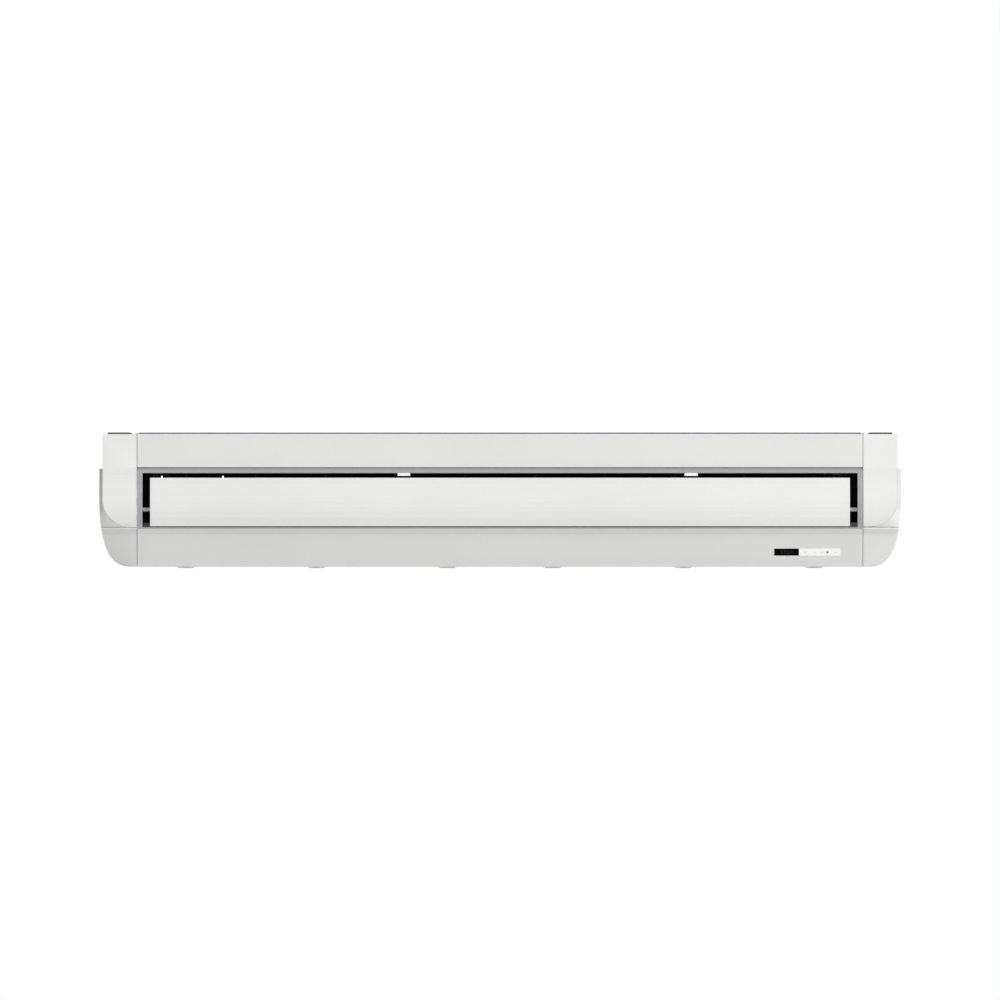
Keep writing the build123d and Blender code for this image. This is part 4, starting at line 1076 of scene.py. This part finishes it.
@dataclass
class Display:
    """Windows on the lower panel's slope, with unlit digits and pale marks.

    Args:
        digit_height: height of one digit, along the slope.
        digit_width: width of one digit.
        digit_pitch: spacing of the digits.
        digits: how many digits there are.
        stroke: width of one segment.
        stroke_gap: length that a segment leaves free, in strokes.
        raised: thickness of a drawn bar, and height of its middle over the window.
        facing: how far an outer face's normal points forwards, and down, at least.
        mark_x: places of the pale marks on the white window.
        mark_size: width and height of one mark.
    """

    digit_height: float = 0.0046
    digit_width: float = 0.0032
    digit_pitch: float = 0.0056
    digits: int = 4
    stroke: float = 0.0006
    stroke_gap: float = 1.4
    raised: tuple = (0.00012, 0.00004)
    facing: float = 0.3
    mark_x: tuple = (0.534, 0.550, 0.563, 0.587)
    mark_size: tuple = (0.0062, 0.0012)

    def build(self) -> None:
        """Dress the windows and the button."""
        paint("display_window", SMOKED)
        # The milky window glows with painted light.
        paint("indicator_window", GLOWING_MILKY)
        paint("display_board", BOARD)
        dress("auto_button", BUTTON_GREY, radius_mm=0.3)
        self._digits()
        self._marks()

    def _slope(self, node: str) -> tuple[Vector, Vector, Vector]:
        """Middle, upward direction and outward normal of a window's outer face.

        Args:
            node: the window's CAD node.

        Returns:
            The face's centre, its up direction along the slope and its normal.
        """
        mesh = frame["nodes"][node].data
        aside = -self.facing
        outward = [f for f in mesh.polygons if max(f.normal.y, f.normal.z) < aside]
        normal = sum((f.normal * f.area for f in outward), Vector()).normalized()
        low, high = (Vector(corner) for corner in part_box(node))
        reach = max(v.co.dot(normal) for v in mesh.vertices)
        middle = (low + high) / 2
        middle += normal * (reach - middle.dot(normal))
        return middle, Vector((0, normal.z, -normal.y)), normal

    def _bar(self, shape: Mesh, centre: Vector, slope: tuple, wide: float, tall: float) -> None:
        """Add one thin raised bar to the window's face.

        Args:
            shape: the mesh that gets it.
            centre: its middle on the face.
            slope: the slope's up direction and normal.
            wide: its width along X.
            tall: its height along the slope.
        """
        (up, normal), (thick, lift) = slope, self.raised
        turn = Matrix((Vector((1, 0, 0)), up, normal)).transposed().to_4x4()
        size = Matrix.Diagonal((wide, tall, thick, 1.0))
        place = Matrix.Translation(centre + normal * lift) @ turn @ size
        bmesh.ops.create_cube(shape, size=1.0, matrix=place)

    def _digits(self) -> None:
        """Unlit seven-segment digits, all alike."""
        middle, up, normal = self._slope("display_window")
        slope, across = (up, normal), Vector((1, 0, 0))
        shape = bmesh.new()
        half_w, half_h = self.digit_width / 2, self.digit_height / 2
        gap = self.stroke * self.stroke_gap
        for i in range(self.digits):
            centre = middle + across * (i - (self.digits - 1) / 2) * self.digit_pitch
            for level in (-1, 0, 1):
                place = centre + up * level * half_h
                self._bar(shape, place, slope, self.digit_width - gap, self.stroke)
            for level in (-0.5, 0.5):
                for side in (-1, 1):
                    place = centre + up * level * half_h + across * side * half_w
                    self._bar(shape, place, slope, self.stroke, half_h - gap)
        digits = mesh_object("unlit_digits", shape, DIGIT_GREY)
        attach(digits, "casing")
        LOG.info("drew %d unlit digits", self.digits)

    def _marks(self) -> None:
        """Pale marks over the indicator lamps."""
        middle, up, normal = self._slope("indicator_window")
        shape = bmesh.new()
        for x in self.mark_x:
            centre = Vector((x, middle.y, middle.z))
            self._bar(shape, centre, (up, normal), *self.mark_size)
        marks = mesh_object("indicator_marks", shape, MARK_GREY)
        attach(marks, "casing")
        LOG.info("drew %d marks", len(self.mark_x))


@dataclass
class Underside:
    """Intake grilles, thumb latches and the mesh filters above them.

    Args:
        border: width of a filter's frame.
        bar: width of the bars between its cells.
        cells: how many cells it has across and along.
        bar_floor: height of the bars' undersides in the frame.
        bar_drops: how far the long and the cross bars end below the frame's top.
        wire_floor: height of the lower threads in the frame.
        tuck: where the threads start, as a share of the border.
        wire: thickness of one mesh thread, drawn thicker than nylon so that it shows.
        wire_pitch: spacing of the threads.
    """

    border: float = 0.008
    bar: float = 0.003
    cells: tuple = (8, 6)
    bar_floor: float = 0.001
    bar_drops: tuple = (0.0004, 0.0006)
    wire_floor: float = 0.0012
    tuck: float = 0.8
    wire: float = 0.0006
    wire_pitch: float = 0.006

    def build(self) -> None:
        """Dress both grilles with their latches and filters."""
        for side in ("left", "right"):
            grille = dress(f"intake_grille_{side}", WHITE_SHELL, radius_mm=0.5)
            for number in (1, 2, 3):
                latch = dress(f"latch_{side}_{number}", WHITE_SHELL, radius_mm=0.7)
            self._filter(side)

    def _filter(self, side: str) -> None:
        """One filter: a moulded frame with cell bars, and threads both ways.

        Args:
            side: "left" or "right".
        """
        node = f"filter_{side}"
        low, high = (Vector(corner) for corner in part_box(node))
        near = low + Vector((self.border, self.border, self.bar_floor))
        far = high - Vector((self.border, self.border, 0))
        shape = bmesh.new()
        for x in (low.x, far.x):
            slab(shape, (x, low.y, low.z), (x + self.border, high.y, high.z))
        for y in (low.y, far.y):
            slab(shape, (near.x, y, low.z), (far.x, y + self.border, high.z))
        long_top, cross_top = (high.z - drop for drop in self.bar_drops)
        for i in range(1, self.cells[0]):
            x = near.x + (far.x - near.x) * i / self.cells[0] - self.bar / 2
            slab(shape, (x, near.y, near.z), (x + self.bar, far.y, long_top))
        for j in range(1, self.cells[1]):
            y = near.y + (far.y - near.y) * j / self.cells[1] - self.bar / 2
            slab(shape, (near.x, y, near.z), (far.x, y + self.bar, cross_top))
        rim = mesh_object(f"filter_frame_{side}", shape, FILTER_FRAME)
        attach(rim, f"grille_{side}")
        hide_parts(node)
        edge = Vector((1, 1, 0)) * self.border * self.tuck
        first = low + edge + Vector((0, 0, self.wire_floor))
        self._threads(side, first, high - edge, along_x=True)
        first.z += self.wire
        self._threads(side, first, high - edge, along_x=False)
        LOG.info("wove the %s filter", side)

    def _threads(self, side: str, first: Vector, last: Vector, along_x: bool) -> None:
        """Threads of one filter in one direction.

        Args:
            side: "left" or "right".
            first: the lowest corner of the first thread.
            last: the corner that the threads reach.
            along_x: whether they run along X.
        """
        wire, pitch = self.wire, self.wire_pitch
        if along_x:
            way, length, span = "across", last.x - first.x, last.y - first.y
            size, step = (length, wire, wire), (0, pitch, 0)
        else:
            way, length, span = "along", last.y - first.y, last.x - first.x
            size, step = (wire, length, wire), (pitch, 0, 0)
        shape = bmesh.new()
        slab(shape, first, first + Vector(size))
        threads = mesh_object(f"filter_threads_{side}_{way}", shape, MESH_GREY)
        repeat(threads, MESH_GREY, int(span / pitch), step)
        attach(threads, f"grille_{side}")


@dataclass
class Inside:
    """Coil, blowers, pipes and electrics behind the covers.

    Args:
        fin_pitch: spacing of the coil's fins, drawn wider than the real 1.5 mm.
        fin_thick: thickness of one fin, drawn thicker than foil so that it shows.
        coil_deep: depth of the fin pack.
        coil_tall: height of the fin pack along its slant.
        coil_tilt: slant of the fin pack from upright, in degrees.
        finishes: what each inner CAD node is made of.
    """

    fin_pitch: float = 0.002
    fin_thick: float = 0.0007
    coil_deep: float = 0.044
    coil_tall: float = 0.196
    coil_tilt: float = 36.0
    finishes: dict = field(
        default_factory=lambda: {
            "coil_end_plates": GALVANISED,
            "coil_tubes": COPPER,
            "drain_pan": PAN_FOAM,
            "refrigerant_pipes": COPPER,
            "flare_nuts": BRASS,
            "scroll_housings": FAN_PLASTIC,
            "blower_wheels": FAN_PLASTIC,
            "fan_shaft": GROUND_STEEL,
            "fan_motor": ZINC,
            "motor_clamp": GALVANISED,
            "end_bearings": RUBBER,
            "electric_box": GALVANISED,
            "electric_box_cover": GALVANISED,
            "control_board": BOARD,
            "terminal_block": TERMINAL,
            "capacitor": CAPACITOR,
            "cable_grommet": RUBBER,
        }
    )

    def build(self) -> None:
        """Dress the inner pieces and stack the fins."""
        for node, finish in self.finishes.items():
            paint(node, finish)
        self._fins()

    def _fins(self) -> None:
        """Thin fins across the whole coil, as one stack."""
        low, high = (Vector(corner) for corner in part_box("coil_fins"))
        middle = (low + high) / 2
        tilt = math.radians(self.coil_tilt)
        shape = bmesh.new()
        first = Matrix.Translation((low.x + self.fin_thick / 2, middle.y, middle.z))
        size = Matrix.Diagonal((self.fin_thick, self.coil_deep, self.coil_tall, 1.0))
        place = first @ Matrix.Rotation(-tilt, 4, "X") @ size
        bmesh.ops.create_cube(shape, size=1.0, matrix=place)
        fins = mesh_object("coil_fin_stack", shape, FIN_ALUMINIUM)
        count = int((high.x - low.x - self.fin_thick) / self.fin_pitch) + 1
        repeat(fins, FIN_ALUMINIUM, count, (self.fin_pitch, 0, 0))
        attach(fins, "casing")
        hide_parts("coil_fins")
        LOG.info("stacked %d fins", count)


@dataclass
class Studio:
    """Camera, soft light and floor.

    Args:
        mm_per_pixel: real size of one pixel of the 1000-pixel frame.
        lens: focal length, long because the view is nearly parallel.
        sensor: sensor width.
        reach: how far the camera sees, in metres.
        middle_z: height of the picture's middle.
        front_y: place of the unit's front, which the scale holds for.
        floor_z: height of the floor, well under the hung unit.
        floor_half: half the floor's width.
        ambient: light from all round.
        lean: extra light by direction: from the right, the rear and above.
        key_place: where the key light stands.
        key_size: its width.
        key_power: its power, in watts.
    """

    mm_per_pixel: float = 1.748
    lens: float = 1200.0
    sensor: float = 36.0
    reach: float = 200.0
    middle_z: float = -0.1183
    front_y: float = -0.3
    floor_z: float = -2.2
    floor_half: float = 9.0
    ambient: float = 0.51
    lean: tuple = (0.26, -0.47, -0.03)
    key_place: tuple = (9.0, -7.2, 3.2)
    key_size: float = 6.0
    key_power: float = 450.0

    def build(self) -> None:
        """Set the camera, the world, the key light and the floor."""
        self._camera()
        self._world()
        self._key()
        self._floor()

    def _camera(self) -> None:
        """A long lens level with the unit's middle, square to its front."""
        wide = PIXELS * self.mm_per_pixel * MM
        distance = wide / 2 / (self.sensor / 2 / self.lens)
        data = bpy.data.cameras.new("camera")
        data.lens, data.sensor_width = self.lens, self.sensor
        data.clip_end = self.reach
        camera = bpy.data.objects.new("camera", data)
        camera.location = (0, self.front_y - distance, self.middle_z)
        camera.rotation_euler = (math.radians(90), 0, 0)
        bpy.context.scene.collection.objects.link(camera)
        bpy.context.scene.camera = camera

    def _world(self) -> None:
        """White behind the unit, with more light from the right, the front and above."""
        world = bpy.data.worlds.new("studio")
        bpy.context.scene.world = world
        world.use_nodes = True
        tree = world.node_tree
        tree.nodes.clear()
        ray = add_node(tree, "ShaderNodeLightPath").outputs["Is Camera Ray"]
        way = add_node(tree, "ShaderNodeTexCoord").outputs["Generated"]
        aim = {0: way, 1: self.lean}
        lean = add_node(tree, "ShaderNodeVectorMath", aim, operation="DOT_PRODUCT")
        both = {0: lean.outputs["Value"], 1: self.ambient}
        light = add_node(tree, "ShaderNodeMath", both, operation="ADD").outputs["Value"]
        soft = add_node(tree, "ShaderNodeBackground", {"Strength": light, "Color": WHITE})
        seen = add_node(tree, "ShaderNodeBackground", {"Strength": 1.0, "Color": WHITE})
        either = {0: ray, 1: soft.outputs["Background"], 2: seen.outputs["Background"]}
        mixed = add_node(tree, "ShaderNodeMixShader", either).outputs["Shader"]
        add_node(tree, "ShaderNodeOutputWorld", {"Surface": mixed})
        bpy.context.scene.view_settings.view_transform = "Standard"

    def _key(self) -> None:
        """A wide soft light from the upper right front."""
        data = bpy.data.lights.new("key", "AREA")
        data.shape, data.size, data.energy = "DISK", self.key_size, self.key_power
        lamp = bpy.data.objects.new("key", data)
        lamp.location = self.key_place
        towards = Vector((0, 0, self.middle_z)) - Vector(lamp.location)
        lamp.rotation_mode = "QUATERNION"
        lamp.rotation_quaternion = towards.to_track_quat("-Z", "Y")
        bpy.context.scene.collection.objects.link(lamp)

    def _floor(self) -> None:
        """A pale floor that is clear from below, so that the underside shows."""
        shape = bmesh.new()
        bmesh.ops.create_grid(shape, x_segments=2, y_segments=2, size=self.floor_half)
        bmesh.ops.translate(shape, verts=shape.verts, vec=(0, 0, self.floor_z))
        floor = mesh_object("floor", shape, FLOOR_PALE)
        tree = floor.data.materials[0].node_tree
        shader = next(n for n in tree.nodes if n.type == "BSDF_PRINCIPLED")
        output = next(n for n in tree.nodes if n.type == "OUTPUT_MATERIAL")
        back = add_node(tree, "ShaderNodeNewGeometry").outputs["Backfacing"]
        clear = add_node(tree, "ShaderNodeBsdfTransparent").outputs["BSDF"]
        either = {0: back, 1: shader.outputs["BSDF"], 2: clear}
        mixed = add_node(tree, "ShaderNodeMixShader", either).outputs["Shader"]
        tree.links.new(mixed, output.inputs["Surface"])


def main() -> None:
    """Build every sub-assembly in order."""
    logging.basicConfig(level=logging.INFO, format="%(name)s %(message)s")
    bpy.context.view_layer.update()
    Studio().build()
    for part in (Casing(), Seals(), Outlet(), Display(), Underside(), Inside()):
        part.build()
        LOG.info("finished %s", type(part).__name__)


if __name__ == "__main__":
    main()
